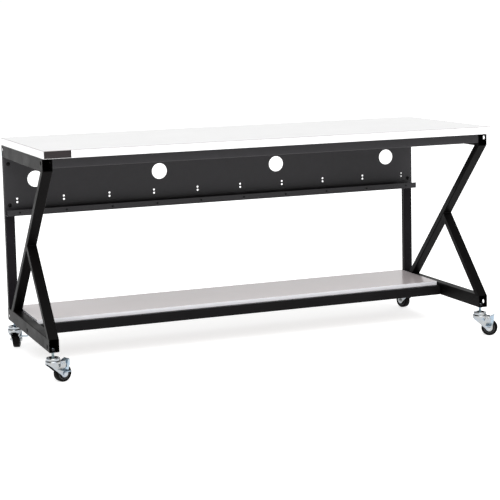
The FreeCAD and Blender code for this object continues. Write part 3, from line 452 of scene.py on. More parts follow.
# ======== finishes
FINISHES = {}
PATTERN_RANGE = (0.3, 0.7)  # where most of a noise's values lie
# Painted shadow: the worktop band's grey line just below its upper edge stands in for the shade in its joint
# with the top sheet.
SHADE_LINE_FADE, SHADE_LINE_DEPTH = mm(1.4, 1.2)  # below the band's upper edge


def add_node(tree, kind, settings=None, **sockets):
    """Node with settings and sockets. A socket goes by its name or by i and its number, and its value is a
    number, a colour or another node's output."""
    node = tree.nodes.new(kind)
    for name, value in (settings or {}).items():
        setattr(node, name, value)
    for name, value in sockets.items():
        numbered = name[0] == "i" and name[1:].isdigit()
        socket = node.inputs[int(name[1:]) if numbered else name.replace("_", " ")]
        if isinstance(value, bpy.types.NodeSocket):
            tree.links.new(value, socket)
        else:
            socket.default_value = value
    return node


def rgba(colour, factor=1.0):
    """Colour with full alpha, made darker or lighter by a factor."""
    return tuple(min(1.0, c * factor) for c in colour) + (1.0,)


def per_metre(size_mm):
    """Texture scale for features of this many millimetres."""
    return 1000.0 / size_mm


def fade(tree, source, start, end, low, high):
    """Value that goes from low to high while the source goes from start to end."""
    return add_node(tree, "ShaderNodeMapRange", i0=source, i1=start, i2=end, i3=low, i4=high).outputs[0]


class Finish:
    """Material being made: its tree, its shader and the output that holds the piece's own coordinates."""

    def __init__(self, name):
        self.material = bpy.data.materials.new(name)
        self.material.use_nodes = True
        self.tree = self.material.node_tree
        self.shader = self.tree.nodes["Principled BSDF"]
        self.place = add_node(self.tree, "ShaderNodeTexCoord").outputs["Object"]

    def set(self, **values):
        """Set sockets of the shader."""
        for name, value in values.items():
            self.shader.inputs[name.replace("_", " ")].default_value = value

    def drive(self, socket, output):
        """Drive a socket of the shader from a node's output."""
        self.tree.links.new(output, self.shader.inputs[socket])

    def stretched(self, *scale):
        """Coordinates scaled along each axis; a small scale draws a pattern out along that axis."""
        return add_node(self.tree, "ShaderNodeMapping", Vector=self.place, Scale=scale).outputs[0]

    def noise(self, size_mm, detail, place=None, **more):
        """Noise pattern whose features are about this many millimetres across."""
        return add_node(
            self.tree, "ShaderNodeTexNoise", Vector=self.place if place is None else place,
            Scale=per_metre(size_mm), Detail=detail, **more).outputs[0]

    def roughen(self, pattern, low, high):
        """Drive the roughness from a pattern, between two values."""
        self.drive("Roughness", fade(self.tree, pattern, *PATTERN_RANGE, low, high))

    def tint(self, pattern, dark, light, *span):
        """Drive the colour from a pattern, between two colours over a span of its values."""
        ramp = add_node(self.tree, "ShaderNodeValToRGB", i0=pattern)
        first, last = ramp.color_ramp.elements
        first.position, last.position = span or PATTERN_RANGE
        first.color, last.color = dark, light
        self.drive("Base Color", ramp.outputs["Color"])
        return ramp

    def relief(self, height, depth_mm, strength=1.0, under=None):
        """Bump of a real depth; another bump may lie under it."""
        bump = add_node(
            self.tree, "ShaderNodeBump", Strength=strength, Distance=depth_mm * MM, Height=height)
        if under is not None:
            self.tree.links.new(under, bump.inputs["Normal"])
        self.drive("Normal", bump.outputs["Normal"])
        return bump.outputs["Normal"]


def laminate_finish(name, colour, roughness, pebble_mm, pebble_depth_mm):
    """High-pressure laminate: melamine sheet pressed against a textured plate. The eye sees an even colour,
    a broad soft reflection and a very fine pebble that breaks the reflection up."""
    made = Finish(name)
    made.tint(made.noise(420, 3.0), rgba(colour, 0.975), rgba(colour))
    smear = made.noise(160, 5.0, Roughness=0.6)
    made.roughen(smear, roughness * 0.88, roughness * 1.12)
    made.relief(made.noise(pebble_mm, 2.0), pebble_depth_mm)
    made.set(IOR=1.5)
    return made.material


def edge_band_finish(name, colour, shade_line_level=None):
    """Extruded PVC edge band: satin, with faint straight die lines along the strip and a slightly mottled
    gloss from the trimming that levelled it with the board. Where a level is given, a thin grey line of
    painted shadow runs all round just below it, standing in for the shade in the joint between the band and
    the top sheet; it is drawn about twice as wide as real so that it shows."""
    made = Finish(name)
    height = add_node(made.tree, "ShaderNodeSeparateXYZ", Vector=made.place).outputs["Z"]
    lines = add_node(
        made.tree, "ShaderNodeTexNoise", {"noise_dimensions": "1D"}, W=height, Scale=per_metre(1.6),
        Detail=2.0)
    mottle = made.noise(35, 4.0)
    band = made.tint(mottle, rgba(colour, 0.975), rgba(colour))
    # Painted shadow: grey line just below the band's upper edge, for the shade in its joint with the top
    # sheet.
    if shade_line_level is not None:
        line = fade(made.tree, height, shade_line_level - SHADE_LINE_FADE, shade_line_level - SHADE_LINE_DEPTH, 0.0, 1.0)
        joint_shaded = add_node(
            made.tree, "ShaderNodeMix", {"data_type": "RGBA"}, i0=line, i6=band.outputs["Color"],
            i7=rgba(linear("9A9495")))
        made.drive("Base Color", joint_shaded.outputs[2])
    made.roughen(mottle, 0.32, 0.44)
    made.relief(lines.outputs[0], 0.02)
    made.set(IOR=1.53)
    return made.material


def powder_coat_finish(name, colour, roughness, specular, peel_mm=3.2):
    """Baked polyester powder coat on steel: near black, with the slight orange peel of flowed powder, a
    broken satin reflection and faint paler dust where hands and boxes have rubbed it."""
    made = Finish(name)
    # Real peel is about 1.5 mm across; it is drawn about twice as coarse so that it shows.
    peel = made.noise(peel_mm, 2.0, Roughness=0.45)
    grain = made.noise(0.9, 1.0)
    rub = made.noise(110, 6.0, Roughness=0.62, Distortion=0.6)
    made.tint(rub, rgba(colour, 0.85), rgba(colour, 1.25), 0.35, 0.75)
    made.roughen(rub, roughness * 0.88, roughness * 1.18)
    fine = made.relief(grain, 0.03, 0.5)
    made.relief(peel, 0.08, 0.6, fine)
    made.set(Specular_IOR_Level=specular)
    return made.material


def plated_finish(name, colour, roughness, cloud_mm=9.0, blue=0.0):
    """Electroplated zinc on pressed or turned steel: a bright metal with a clouded gloss, faint rainbow
    drift of the passivation and fine handling scratches."""
    made = Finish(name)
    red, green, blueness = colour
    warm = (min(1, red * 1.05), green, blueness * (0.92 - blue), 1)
    cool = (red * (0.93 - blue), green * 0.98, min(1, blueness * 1.04), 1)
    made.tint(made.noise(24, 3.0), warm, cool)
    cloud = made.noise(cloud_mm, 5.0, Roughness=0.6)
    made.roughen(cloud, roughness * 0.75, roughness * 1.35)
    made.relief(made.noise(2.2, 6.0, Roughness=0.7, Distortion=1.5), 0.02, 0.5)
    made.set(Metallic=1.0)
    return made.material


def rubber_finish(name, colour):
    """Moulded black rubber: soft sheen, a fine matt skin from the mould and grey dust from the floor."""
    made = Finish(name)
    dust = made.noise(14, 6.0, Roughness=0.65)
    made.tint(dust, rgba(colour), rgba(linear("1B1A19")), 0.45, 0.8)
    made.roughen(dust, 0.42, 0.6)
    made.relief(made.noise(1.1, 2.0), 0.05, 0.6)
    made.set(Specular_IOR_Level=0.04)
    return made.material


def moulded_finish(name, colour, roughness=0.38):
    """Injection-moulded polyamide: dark, satin, with faint flow marks and a fine spark-eroded grain."""
    made = Finish(name)
    flow = made.noise(12, 4.0, Distortion=1.2)
    made.tint(flow, rgba(colour, 0.85), rgba(colour, 1.2))
    made.roughen(flow, roughness * 0.85, roughness * 1.2)
    made.relief(made.noise(0.7, 1.0), 0.03, 0.5)
    return made.material


def chipboard_finish(name):
    """Particleboard core: pressed wood chips of mixed browns, flat in the board, rough and dull."""
    made = Finish(name)
    flat = made.stretched(1.0, 1.0, 2.6)
    chips = add_node(made.tree, "ShaderNodeTexVoronoi", Vector=flat, Scale=per_metre(4.5), Randomness=1.0)
    tone = add_node(made.tree, "ShaderNodeSeparateColor", Color=chips.outputs["Color"]).outputs[0]
    ramp = made.tint(tone, rgba(linear("8A6A47")), rgba(linear("C9AC80")), 0.0, 1.0)
    ramp.color_ramp.elements.new(0.45).color = rgba(linear("B08F62"))
    made.set(Roughness=0.85)
    made.relief(chips.outputs["Distance"], 0.25, 0.7)
    return made.material


def backer_finish(name):
    """Phenolic backing sheet: brown kraft paper under resin, with dark fibres and a dull sheen."""
    made = Finish(name)
    paper = made.noise(5, 8.0, made.stretched(0.25, 1.0, 1.0), Roughness=0.7)
    made.tint(paper, rgba(linear("3A2C22")), rgba(linear("5A4636")), 0.35, 0.68)
    made.roughen(paper, 0.42, 0.6)
    made.relief(paper, 0.05, 0.6)
    return made.material


def plain_steel_finish(name, code, roughness):
    """Bare rolled or ground steel: grey metal with a directional haze and faint oil staining."""
    made = Finish(name)
    haze = made.noise(6, 5.0, made.stretched(1.0, 1.0, 9.0))
    made.tint(haze, rgba(linear(code), 0.85), rgba(linear(code), 1.1))
    made.roughen(haze, roughness * 0.8, roughness * 1.25)
    made.set(Metallic=1.0)
    made.relief(haze, 0.02, 0.4)
    return made.material


def plate_finish(name):
    """Black anodised aluminium sheet: dark warm grey metal with a brushed grain along its length."""
    made = Finish(name)
    grain = made.noise(1.4, 4.0, made.stretched(0.04, 1.0, 1.0))
    made.tint(grain, rgba(linear("282324")), rgba(linear("353031")))
    made.roughen(grain, 0.3, 0.46)
    made.set(Metallic=0.6)
    made.relief(grain, 0.02, 0.4)
    return made.material


def make_finishes():
    """Fill FINISHES from the colour settings."""
    colours = bpy.context.scene.table_colours
    colour = {name: tuple(getattr(colours, name)) for name in TableColours.__annotations__}
    FINISHES.update({
        "white_laminate": laminate_finish("pressed_melamine_laminate", colour["laminate"], 0.36, 2.4, 0.05),
        "shelf_laminate": laminate_finish("gloss_melamine_laminate", colour["shelf"], 0.2, 6.0, 0.03),
        # The worktop band carries the painted shadow line at its upper edge.
        "white_edge_band": edge_band_finish("extruded_pvc_band", colour["edge_band"], WORKTOP_HIGH.z),
        "shelf_edge_band": edge_band_finish("extruded_pvc_shelf_band", colour["shelf_edge"]),
        "backer": backer_finish("phenolic_backing_sheet"),
        "particleboard": chipboard_finish("pressed_particleboard"),
        "black_powder_coat": powder_coat_finish("baked_powder_coat_tube", colour["coat"], 0.42, 0.05),
        # Painted light: the rail's and the posts' coats are paler copies of the end frames' black coat.
        "rail_coat_painted_light": powder_coat_finish("baked_powder_coat_rail", colour["rail"], 0.42, 0.06),
        "post_coat_painted_light": powder_coat_finish("baked_powder_coat_post", colour["post"], 0.42, 0.05),
        # Painted light: the sheet's coat is a much paler copy of the end frames' black coat.
        "black_sheet": powder_coat_finish("baked_powder_coat_sheet", colour["panel"], 0.46, 0.35, 2.6),
        "black_screws": powder_coat_finish("black_oxide_screw", colour["coat"], 0.38, 0.15, 0.8),
        "zinc_screws": plated_finish("zinc_plated_screw", linear("B9BDC0"), 0.3, 4.0),
        "plain_steel": plain_steel_finish("hot_rolled_steel", "47474A", 0.5),
        "bearing_steel": plain_steel_finish("ground_bearing_steel", "C3C5C8", 0.12),
        "zinc_plate": plated_finish("bright_zinc_plate", colour["zinc"], 0.18),
        "zinc_stem": plated_finish("blue_zinc_stem", colour["stem"], 0.3, 4.0, 0.02),
        "zinc_lever": plated_finish("blue_zinc_plate", colour["lever"], 0.24, 6.0, 0.02),
        "black_tread": rubber_finish("moulded_black_rubber", colour["rubber"]),
        "black_wheel_core": moulded_finish("moulded_black_polyamide", linear("1A1A1C")),
        "blank_plate": plate_finish("anodised_aluminium_plate"),
    })


class ASSEMBLYTABLE_OT_finish_nodes(bpy.types.Operator):
    """Give every part of the frame its finish"""

    bl_idname = "assembly_table.finish_nodes"
    bl_label = "Finish the frame's parts"

    def execute(self, context):
        make_finishes()
        # The shelf's front rail and the rear posts take the paler copies of the black coat, which are painted
        # light.
        special = {
            # The top front rail takes the sheet's paler coat, which is painted light.
            "top_front_rail": "black_sheet", "shelf_front_rail": "rail_coat_painted_light",
            "left_rear_post": "post_coat_painted_light", "right_rear_post": "post_coat_painted_light"}
        for part in frame["record"]["subparts"]:
            name = part["node"]
            finish = FINISHES[special.get(name, part["material_slot"])]
            node = frame["nodes"][name]
            if not node.material_slots:
                node.data.materials.append(finish)
            for slot in node.material_slots:
                slot.material = finish
        return {"FINISHED"}


# ======== pieces
class ASSEMBLYTABLE_OT_blank_plate(bpy.types.Operator):
    """Add the blank plate on the worktop's front edge"""

    bl_idname = "assembly_table.blank_plate"
    bl_label = "Blank plate"

    def execute(self, context):
        sizes = context.scene.table_plate
        left = WORKTOP_LOW.x + sizes.inset
        middle = (WORKTOP_LOW.z + WORKTOP_HIGH.z) / 2
        low = (left, WORKTOP_LOW.y - sizes.thickness, middle - sizes.height / 2)
        high = (left + sizes.length, WORKTOP_LOW.y + LET_IN, middle + sizes.height / 2)
        plate = rounded_box(low, high, PLATE_ROUND, 2)
        bpy.ops.object.mode_set(mode="OBJECT")
        front = max(plate.data.polygons, key=lambda face: face.area if face.normal.y < -0.9 else 0).index
        bpy.ops.object.mode_set(mode="EDIT")
        bpy.ops.mesh.select_mode(type="FACE")
        bpy.ops.mesh.select_all(action="DESELECT")
        bpy.ops.object.mode_set(mode="OBJECT")
        plate.data.polygons[front].select = True
        bpy.ops.object.mode_set(mode="EDIT")
        bpy.ops.mesh.inset(thickness=sizes.border, depth=0)
        bpy.ops.mesh.inset(thickness=FIELD_SLOPE, depth=-FIELD_DEPTH)
        bpy.ops.mesh.select_mode(type="VERT")
        done(plate, smooth_deg=25)
        joined("blank_edge_plate", [plate])
        finish_piece(plate, "frame", "black_sheet", "blank_plate")
        return {"FINISHED"}


def bead_master(length, radius, ripple):
    """Weld bead along Z: overlapping ripples with rounded ends."""
    half = length / 2
    count = max(4, round(length / ripple))
    step = (length - radius) / count
    profile = [(radius * BEAD_TIP, -half), (radius * BEAD_SHOULDER, -half + radius * BEAD_ROUND)]
    for i in range(count):
        start = -half + radius * BEAD_START + (length - radius) * i / count
        profile.append((radius * BEAD_VALLEY, start))
        profile.append((radius * BEAD_CREST, start + step * CREST_AT))
    profile += [(radius * BEAD_SHOULDER, half - radius * BEAD_ROUND), (radius * BEAD_TIP, half)]
    return turned(profile, BEAD_SIDES)


def bead_places(sizes):
    """(y, z) of every bead across one end frame."""
    front, upper, base = TOP_TUBE_LOW.y, TOP_TUBE_LOW.z, BASE_TUBE_HIGH.z
    rise = (upper - base) / 2
    slant = math.hypot(rise, sizes.knee_setback)
    step = sizes.brace_depth * slant / rise
    knee_y, knee_z = front + sizes.knee_setback, (upper + base) / 2
    shift = step / 2
    rear = (knee_y + shift, knee_z - shift * rise / sizes.knee_setback)
    foot = front + 2 * sizes.knee_setback
    return [
        (front + step, upper), (foot, base), (foot + step, base), (front + step, base),
        (knee_y, knee_z), rear, (POST_LOW.y, base)]


class ASSEMBLYTABLE_OT_weld_beads(bpy.types.Operator):
    """Add the weld beads where the end frames' tubes meet"""

    bl_idname = "assembly_table.weld_beads"
    bl_label = "Weld beads"

    def execute(self, context):
        sizes = context.scene.table_welds
        bead = bead_master(TOP_TUBE_HIGH.x - TOP_TUBE_LOW.x - BEAD_END_GAP, sizes.radius, sizes.ripple)
        lengthwise = Matrix.Rotation(math.radians(90), 4, "Y")
        for side in SIDES:
            low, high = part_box(f"{side}_top_tube")
            x = (low.x + high.x) / 2
            beads = [copy_of(bead, Matrix.Translation((x, y, z)) @ lengthwise) for y, z in bead_places(sizes)]
            piece = joined(f"{side}_weld_beads", beads)
            finish_piece(piece, "frame", "black_powder_coat")
        discard(bead)
        return {"FINISHED"}


def thread(diameter, pitch, low, high):
    """Helical ridge of an outside thread about Z, from low to high."""
    outer = diameter / 2
    core = outer - THREAD_DEPTH * pitch
    rooted = core - THREAD_SINK * pitch
    flanks = [low + share * pitch for share in THREAD_FLANKS]
    profile = [(rooted, low), *zip((core, outer, outer, core), flanks), (rooted, low + pitch)]
    turns = (high - low) / pitch - 1
    return wound(profile, pitch, turns, THREAD_STEPS)


class ASSEMBLYTABLE_OT_threaded_stems(bpy.types.Operator):
    """Add the casters' threaded stems with their riveted heads and washers"""

    bl_idname = "assembly_table.threaded_stems"
    bl_label = "Threaded stems"

    def execute(self, context):
        sizes = context.scene.table_fasteners
        low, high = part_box("caster_stems")
        cap_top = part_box("swivel_caps")[1].z
        plain = sizes.stem_diameter / 2
        core = plain - THREAD_DEPTH * sizes.stem_pitch
        foot = [(radius, low.z + height) for radius, height in STEM_HEAD + STEM_WASHER]
        ridge_low, shank_end, core_low = (cap_top - drop for drop in STEM_RUNOUT)
        core_high, ridge_high = (high.z - drop for drop in STEM_TIP)
        body = turned([
            *foot, (plain, foot[-1][1]), (plain, shank_end), (core, core_low), (core, core_high),
            (core - STEM_CHAMFER, high.z)], sizes.turned_sides)
        ridge = thread(sizes.stem_diameter, sizes.stem_pitch, ridge_low, ridge_high)
        stems = []
        for corner in CORNERS:
            place = Matrix.Translation(stem_foot(corner))
            stems += [copy_of(body, place), copy_of(ridge, place)]
        discard(body, ridge)
        piece = joined("threaded_caster_stems", stems)
        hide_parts("caster_stems")
        finish_piece(piece, "frame", "zinc_plate", "zinc_stem")
        return {"FINISHED"}


def crown_ring(sizes, level):
    """Loop round the crown at one level, as four arcs with a gap in the middle of each side."""
    arc = math.pi / 2 - CROWN_SIDE
    points = []
    for quarter in range(4):
        start = math.pi + CROWN_SIDE / 2 + math.pi / 2 * quarter
        for k in range(QUARTER_STEPS + 1):
            angle = start + arc * (k / QUARTER_STEPS)
            points.append((sizes.crown_radius * math.cos(angle), sizes.crown_radius * math.sin(angle), level))
    return loop_through(points)


def cheek_ring(sizes, level):
    """Loop round both cheeks at one level, a rectangle with four rounded corners."""
    corner = sizes.corner_radius
    points = []
    for quarter in range(4):
        middle_x = corner - sizes.crown_radius if quarter in (0, 3) else sizes.rear - corner
        middle_y = corner - sizes.half_width if quarter in (0, 1) else sizes.half_width - corner
        for k in range(QUARTER_STEPS + 1):
            angle = math.pi + math.pi / 2 * quarter + math.pi / 2 * (k / QUARTER_STEPS)
            points.append((middle_x + corner * math.cos(angle), middle_y + corner * math.sin(angle), level))
    return loop_through(points)


def cut_off(piece, point, normal, fill=False):
    """Cut the piece with a plane and drop what lies on the normal's side."""
    select_only(piece)
    edit_all()
    bpy.ops.mesh.bisect(plane_co=point, plane_no=normal, use_fill=fill, clear_outer=True)
    bpy.ops.object.mode_set(mode="OBJECT")


def fork_skirt(sizes):
    """Front of a fork below its crown: shoulders that run into both cheeks, cut off along a slanting edge."""
    front = Vector((-sizes.crown_radius, 0, sizes.crown_level - EDGE_STEP))
    slant = Vector((sizes.rear + sizes.crown_radius, 0, -sizes.edge_drop))
    below = Vector((0, 1, 0)).cross(slant)
    flat_end = sizes.rear - sizes.corner_radius
    bottom = sizes.crown_level - sizes.edge_drop - SKIRT_SPARE
    skirt = joined("fork_skirt", [
        crown_ring(sizes, sizes.crown_level + RIM_OVERLAP), crown_ring(sizes, sizes.crown_level),
        cheek_ring(sizes, sizes.cheek_level), cheek_ring(sizes, bottom)])
    edit_all()
    bpy.ops.mesh.bridge_edge_loops(type="SINGLE")
    bpy.ops.mesh.select_all(action="SELECT")
    bpy.ops.mesh.normals_make_consistent(inside=False)
    bpy.ops.object.mode_set(mode="OBJECT")
    cut_off(skirt, (flat_end, 0, 0), (1, 0, 0))
    cut_off(skirt, front, below)
    apply_modifier(skirt, "SOLIDIFY", thickness=sizes.sheet, offset=-1)
    parts = [done(skirt)]
    for side in (-1, 1):
        near, far = sorted((side * (sizes.half_width - sizes.sheet), side * (sizes.half_width - CHEEK_PLAY)))
        low = (flat_end - CHEEK_SEAM, near, bottom)
        high = (sizes.rear + CHEEK_PAST, far, sizes.cheek_level + CHEEK_ABOVE)
        cheek = bar(low, high, CHEEK_ROUND)
        cut_off(cheek, front, below, fill=True)
        parts.append(done(cheek))
    return joined("fork_skirt", parts)


class ASSEMBLYTABLE_OT_fork_skirts(bpy.types.Operator):
    """Add the skirts that run from the forks' crowns into their cheeks' front edges"""

    bl_idname = "assembly_table.fork_skirts"
    bl_label = "Fork skirts"

    def execute(self, context):
        skirt = fork_skirt(context.scene.table_forks)
        for corner in CORNERS:
            piece = joined(f"{corner}_fork_skirt", [copy_of(skirt, standing(corner, stem_foot(corner)))])
            finish_piece(piece, f"{corner}_swivel", "zinc_plate")
        discard(skirt)
        return {"FINISHED"}


def axle_masters(sizes):
    """Pieces of one axle about Z: head, flanged bolt, nut with its collar, thread and spacer sleeve."""
    cheek = CHEEK_OUTSIDE
    flat, shank = sizes.hexagon / 2, sizes.axle_diameter / 2
    core, end = shank - THREAD_DEPTH * sizes.axle_pitch, cheek + AXLE_END
    shank_end, ridge_low, core_low = (cheek + step for step in AXLE_RUNOUT)
    core_high, ridge_high = (end - drop for drop in AXLE_TIP)
    bore = shank + COLLAR_PLAY
    rim = [(radius, cheek + height) for radius, height in COLLAR]
    sleeve = [
        (shank, -CHEEK_INSIDE), (SLEEVE_RADIUS, -CHEEK_INSIDE), (SLEEVE_RADIUS, CHEEK_INSIDE),
        (shank, CHEEK_INSIDE)]
    return [
        hex_blank(sizes.hexagon, -cheek - BOLT_HEAD, -cheek - BOLT_FACE, HEX_CHAMFER),
        turned([
            (flat - FACE_EDGE, -cheek - FACE_ROOT), (flat, -cheek - BOLT_FACE), (flat, -cheek),
            (shank, -cheek), (shank, shank_end), (core, core_low), (core, core_high),
            (core - AXLE_CHAMFER, end)], sizes.turned_sides),
        hex_blank(sizes.hexagon, cheek, cheek + NUT_HEIGHT, HEX_CHAMFER),
        wound([(bore, rim[0][1]), *rim, (bore, rim[-1][1])], 0, 1, sizes.turned_sides),
        thread(sizes.axle_diameter, sizes.axle_pitch, ridge_low, ridge_high),
        wound(sleeve, 0, 1, sizes.turned_sides),
    ]


class ASSEMBLYTABLE_OT_axles(bpy.types.Operator):
    """Add the casters' axle bolts, lock nuts and sleeves"""

    bl_idname = "assembly_table.axles"
    bl_label = "Axle bolts"

    def execute(self, context):
        masters = axle_masters(context.scene.table_fasteners)
        for corner in CORNERS:
            place = lying(corner, "roll")
            piece = joined(f"{corner}_axle_bolt", [copy_of(master, place) for master in masters])
            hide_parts(f"{corner}_axle")
            finish_piece(piece, f"{corner}_swivel", "zinc_screws")
        discard(*masters)
        return {"FINISHED"}


class ASSEMBLYTABLE_OT_brake_rivets(bpy.types.Operator):
    """Add the brakes' pivot rivets with their set heads"""

    bl_idname = "assembly_table.brake_rivets"
    bl_label = "Brake rivets"

    def execute(self, context):
        left_end = [(radius, -CHEEK_OUTSIDE - height) for radius, height in RIVET_HEAD]
        right_end = [(radius, CHEEK_OUTSIDE + height) for radius, height in reversed(RIVET_HEAD)]
        rivet = turned(left_end + right_end, context.scene.table_fasteners.turned_sides)
        for corner in CORNERS:
            piece = joined(f"{corner}_brake_rivet", [copy_of(rivet, lying(corner, "brake"))])
            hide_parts(f"{corner}_brake_pin")
            finish_piece(piece, f"{corner}_swivel", "zinc_screws")
        discard(rivet)
        return {"FINISHED"}


class ASSEMBLYTABLE_OT_panel_screws(bpy.types.Operator):
    """Add the back panel's cross-head screws"""

    bl_idname = "assembly_table.panel_screws"
    bl_label = "Panel screws"

    def execute(self, context):
        master = turned(SCREW, context.scene.table_fasteners.turned_sides)
        for turn in (0, 90):
            blade = bar(RECESS_LOW, RECESS_HIGH, RECESS_ROUND)
            blade.matrix_world = Matrix.Rotation(math.radians(turn), 4, "Z")
            settle(blade)
            apply_modifier(master, "BOOLEAN", operation="DIFFERENCE", object=blade, solver="EXACT")
            discard(blade)
        done(master)
        low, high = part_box("panel_screws")
        panel_front = POST_LOW.y - PANEL_SHEET
        rim = max(SCREW)[0]
        facing = Matrix.Rotation(math.radians(90), 4, "X")
        places = [(x, z) for x in (low.x + rim, high.x - rim) for z in (high.z - rim, low.z + rim)]
        screws = []
        for i, (x, z) in enumerate(places):
            spin = Matrix.Rotation(math.radians(FIRST_SPIN + SPIN_STEP * i), 4, "Z")
            screws.append(copy_of(master, Matrix.Translation((x, panel_front, z)) @ facing @ spin))
        discard(master)
        piece = joined("cross_head_panel_screws", screws)
        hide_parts("panel_screws")
        finish_piece(piece, "frame", "black_screws")
        return {"FINISHED"}


def core_ribs(sizes):
    """Radial ribs on both sides of a wheel core about Z."""
    ribs = []
    half = sizes.rib_thickness / 2
    for sign in (-1, 1):
        near, far = sorted((sign * RIB_NEAR, sign * RIB_FAR))
        for k in range(sizes.ribs):
            rib = bar((RIB_INNER, -half, near), (RIB_OUTER, half, far), RIB_ROUND)
            rib.matrix_world = Matrix.Rotation(2 * math.pi * (k + 0.5) / sizes.ribs, 4, "Z")
            ribs.append(settle(rib))
    return joined("wheel_ribs", ribs)


def tread_rings():
    """Moulded rings on both sides of a tread about Z."""
    rings = []
    for sign in (-1, 1):
        sunk, proud = sign * TREAD_FACE - sign * RING_RISE, sign * TREAD_FACE + sign * RING_RISE
        for radius in RING_RADII:
            profile = [
                (radius - RING_FOOT, sunk), (radius - RING_TOP, proud), (radius + RING_TOP, proud),
                (radius + RING_FOOT, sunk)]
            rings.append(wound(profile, 0, 1, RING_STEPS))
    return joined("tread_rings", rings)


class ASSEMBLYTABLE_OT_wheel_mouldings(bpy.types.Operator):
    """Add the wheel cores' radial ribs and the treads' moulded rings"""

    bl_idname = "assembly_table.wheel_mouldings"
    bl_label = "Wheel mouldings"

    def execute(self, context):
        web, side_rings = core_ribs(context.scene.table_wheels), tread_rings()
        for corner in CORNERS:
            place = lying(corner, "roll")
            core = joined(f"{corner}_core_ribs", [copy_of(web, place)])
            finish_piece(core, f"{corner}_wheel", "black_wheel_core")
            tyre = joined(f"{corner}_tread_rings", [copy_of(side_rings, place)])
            finish_piece(tyre, f"{corner}_wheel", "black_tread")
        discard(web, side_rings)
        return {"FINISHED"}


class ASSEMBLYTABLE_OT_pedal_ridges(bpy.types.Operator):
    """Add the grip ridges pressed across the brake pedals"""

    bl_idname = "assembly_table.pedal_ridges"
    bl_label = "Pedal ridges"

    def execute(self, context):
        sizes = context.scene.table_wheels
        height = sizes.ridge_height
        ridges = []
        for k in range(sizes.ridges):
            along = (RIDGE_START_MM + RIDGE_SPACING_MM * k) * MM
            low = (along, -RIDGE_HALF_LENGTH, -RIDGE_SINK)
            ridges.append(bar(low, (along + RIDGE_WIDTH, RIDGE_HALF_LENGTH, height), 0.5 * height, 2))
        grip = joined("pedal_ridges", ridges)
        top = Matrix.Translation(PEDAL_START) @ Matrix.Rotation(-sizes.pedal_rise, 4, "Y")
        for corner in CORNERS:
            place = standing(corner, joint_point(corner, "brake")) @ top
            piece = joined(f"{corner}_pedal_ridges", [copy_of(grip, place)])
            finish_piece(piece, f"{corner}_brake", "zinc_lever")
        discard(grip)
        return {"FINISHED"}


# ======== stage
CAMERA_PLACE = (-2.17245667, -5.50932957, 1.32891636)
CAMERA_RIGHT = Vector((0.92855312, -0.37056977, -0.02161378))
CAMERA_UP = Vector((0.06383731, 0.10205832, 0.99272801))
CAMERA_BACK = Vector((-0.36566912, -0.92318045, 0.11842275))
CAMERA_SETTINGS = {"sensor_width": 36.0, "lens": 107.337, "shift_y": -0.12, "clip_end": 400.0}

KEY_PLACE = (0.6, -2.4, 3.0)
KEY_FROM = Vector((-0.12, -0.62, 0.77))

# Spans of a direction's Z, Y and X over which the surround's strength changes.
CLIMB_SPAN, NEAR_SPAN, LEFT_SPAN = (0.12, 0.75), (-0.6, 0.1), (-0.85, -0.45)
WHITE = (1.0, 1.0, 1.0, 1.0)
SWEEP_MM = 1000 / 1.5  # breadth of the floor's faint clouds


def glowing_floor_finish(colour, glow):
    """Floor of white acrylic sheet lit from below, as on a product table: matt, with barely any shadow."""
    made = Finish("lit_acrylic_floor")
    made.tint(made.noise(SWEEP_MM, 3.0), rgba(colour, 0.99), rgba(colour))
    made.set(Roughness=0.9, Specular_IOR_Level=0.0, Emission_Color=WHITE, Emission_Strength=glow)
    return made.material


def product_of(tree, first, second):
    """Output that multiplies two values."""
    return add_node(tree, "ShaderNodeMath", {"operation": "MULTIPLY"}, i0=first, i1=second).outputs[0]


def pale_surround(sizes):
    """World that lights the table most from round the horizon, less from overhead, the near side and the
    left, and is itself seen as an even pale backdrop from every side."""
    world = bpy.data.worlds.new("pale_surround")
    world.use_nodes = True
    tree = world.node_tree
    direction = add_node(tree, "ShaderNodeTexCoord").outputs["Generated"]
    parts = add_node(tree, "ShaderNodeSeparateXYZ", Vector=direction).outputs
    climb = fade(tree, parts["Z"], *CLIMB_SPAN, 1.0, sizes.zenith)
    depth = fade(tree, parts["Y"], *NEAR_SPAN, sizes.near_side, 1.0)
    flank = fade(tree, parts["X"], *LEFT_SPAN, sizes.left_side, 1.0)
    level = product_of(tree, product_of(tree, climb, depth), flank)
    seen = add_node(tree, "ShaderNodeLightPath").outputs["Is Camera Ray"]
    even = fade(tree, seen, 0.0, 1.0, level, 1.0)
    background = tree.nodes["Background"]
    background.inputs["Color"].default_value = WHITE
    tree.links.new(product_of(tree, even, sizes.surround), background.inputs["Strength"])
    return world


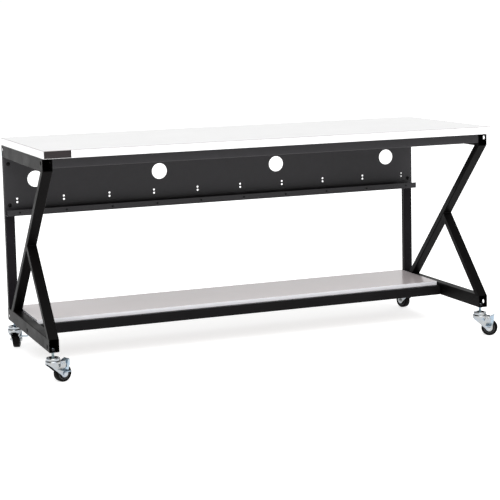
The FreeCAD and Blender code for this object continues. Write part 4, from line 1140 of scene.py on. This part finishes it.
class ASSEMBLYTABLE_OT_stage(bpy.types.Operator):
    """Add the floor, the surround, the key light and the camera"""

    bl_idname = "assembly_table.stage"
    bl_label = "Floor, light and camera"

    def execute(self, context):
        sizes = context.scene.table_stage
        begin()
        bpy.ops.mesh.primitive_plane_add(size=sizes.floor_size, location=(0, 0, 0))
        floor = bpy.context.object
        floor.name = "studio_floor"
        floor.data.materials.append(glowing_floor_finish(tuple(sizes.floor), sizes.floor_glow))
        context.scene.world = pale_surround(sizes)
        bpy.ops.object.light_add(type="SUN", location=KEY_PLACE)
        key = bpy.context.object
        key.name = "key_light"
        key.data.energy = sizes.sun
        key.data.angle = sizes.sun_spread
        key.rotation_euler = KEY_FROM.to_track_quat("Z", "Y").to_euler()
        bpy.ops.object.camera_add(location=CAMERA_PLACE)
        camera = bpy.context.object
        camera.name = "studio_camera"
        turn = Matrix((CAMERA_RIGHT, CAMERA_UP, CAMERA_BACK)).transposed()
        camera.rotation_euler = turn.to_euler()
        for name, value in CAMERA_SETTINGS.items():
            setattr(camera.data, name, value)
        context.scene.camera = camera
        context.scene.view_settings.view_transform = "Standard"
        begin()
        return {"FINISHED"}


# ======== panel
STEPS = (
    ASSEMBLYTABLE_OT_finish_nodes,
    ASSEMBLYTABLE_OT_blank_plate,
    ASSEMBLYTABLE_OT_weld_beads,
    ASSEMBLYTABLE_OT_threaded_stems,
    ASSEMBLYTABLE_OT_fork_skirts,
    ASSEMBLYTABLE_OT_axles,
    ASSEMBLYTABLE_OT_brake_rivets,
    ASSEMBLYTABLE_OT_panel_screws,
    ASSEMBLYTABLE_OT_wheel_mouldings,
    ASSEMBLYTABLE_OT_pedal_ridges,
    ASSEMBLYTABLE_OT_stage,
)
SETTINGS = {
    "table_colours": TableColours,
    "table_plate": PlateSizes,
    "table_welds": WeldSizes,
    "table_fasteners": FastenerSizes,
    "table_wheels": WheelSizes,
    "table_forks": ForkSizes,
    "table_stage": StageSettings,
}


class ASSEMBLYTABLE_PT_dresser(bpy.types.Panel):
    """Sizes, colours and pieces of the assembly table"""

    bl_idname = "ASSEMBLYTABLE_PT_dresser"
    bl_label = "Assembly Table"
    bl_space_type = "VIEW_3D"
    bl_region_type = "UI"
    bl_category = "Assembly Table"

    def draw(self, context):
        for name, group in SETTINGS.items():
            box = self.layout.box()
            box.label(text=group.__doc__)
            for key in group.__annotations__:
                box.prop(getattr(context.scene, name), key)
        for step in STEPS:
            self.layout.operator(step.bl_idname)


def register():
    """Register the settings, the steps and the panel."""
    for name, group in SETTINGS.items():
        bpy.utils.register_class(group)
        setattr(bpy.types.Scene, name, PointerProperty(type=group))
    for step in STEPS:
        bpy.utils.register_class(step)
    bpy.utils.register_class(ASSEMBLYTABLE_PT_dresser)


def unregister():
    """Take away what register() added."""
    bpy.utils.unregister_class(ASSEMBLYTABLE_PT_dresser)
    for step in reversed(STEPS):
        bpy.utils.unregister_class(step)
    for name, group in SETTINGS.items():
        delattr(bpy.types.Scene, name)
        bpy.utils.unregister_class(group)


def main():
    """Run every step in order."""
    register()
    for step in STEPS:
        family, name = step.bl_idname.split(".")
        getattr(getattr(bpy.ops, family), name)()


if __name__ == "__main__":
    main()
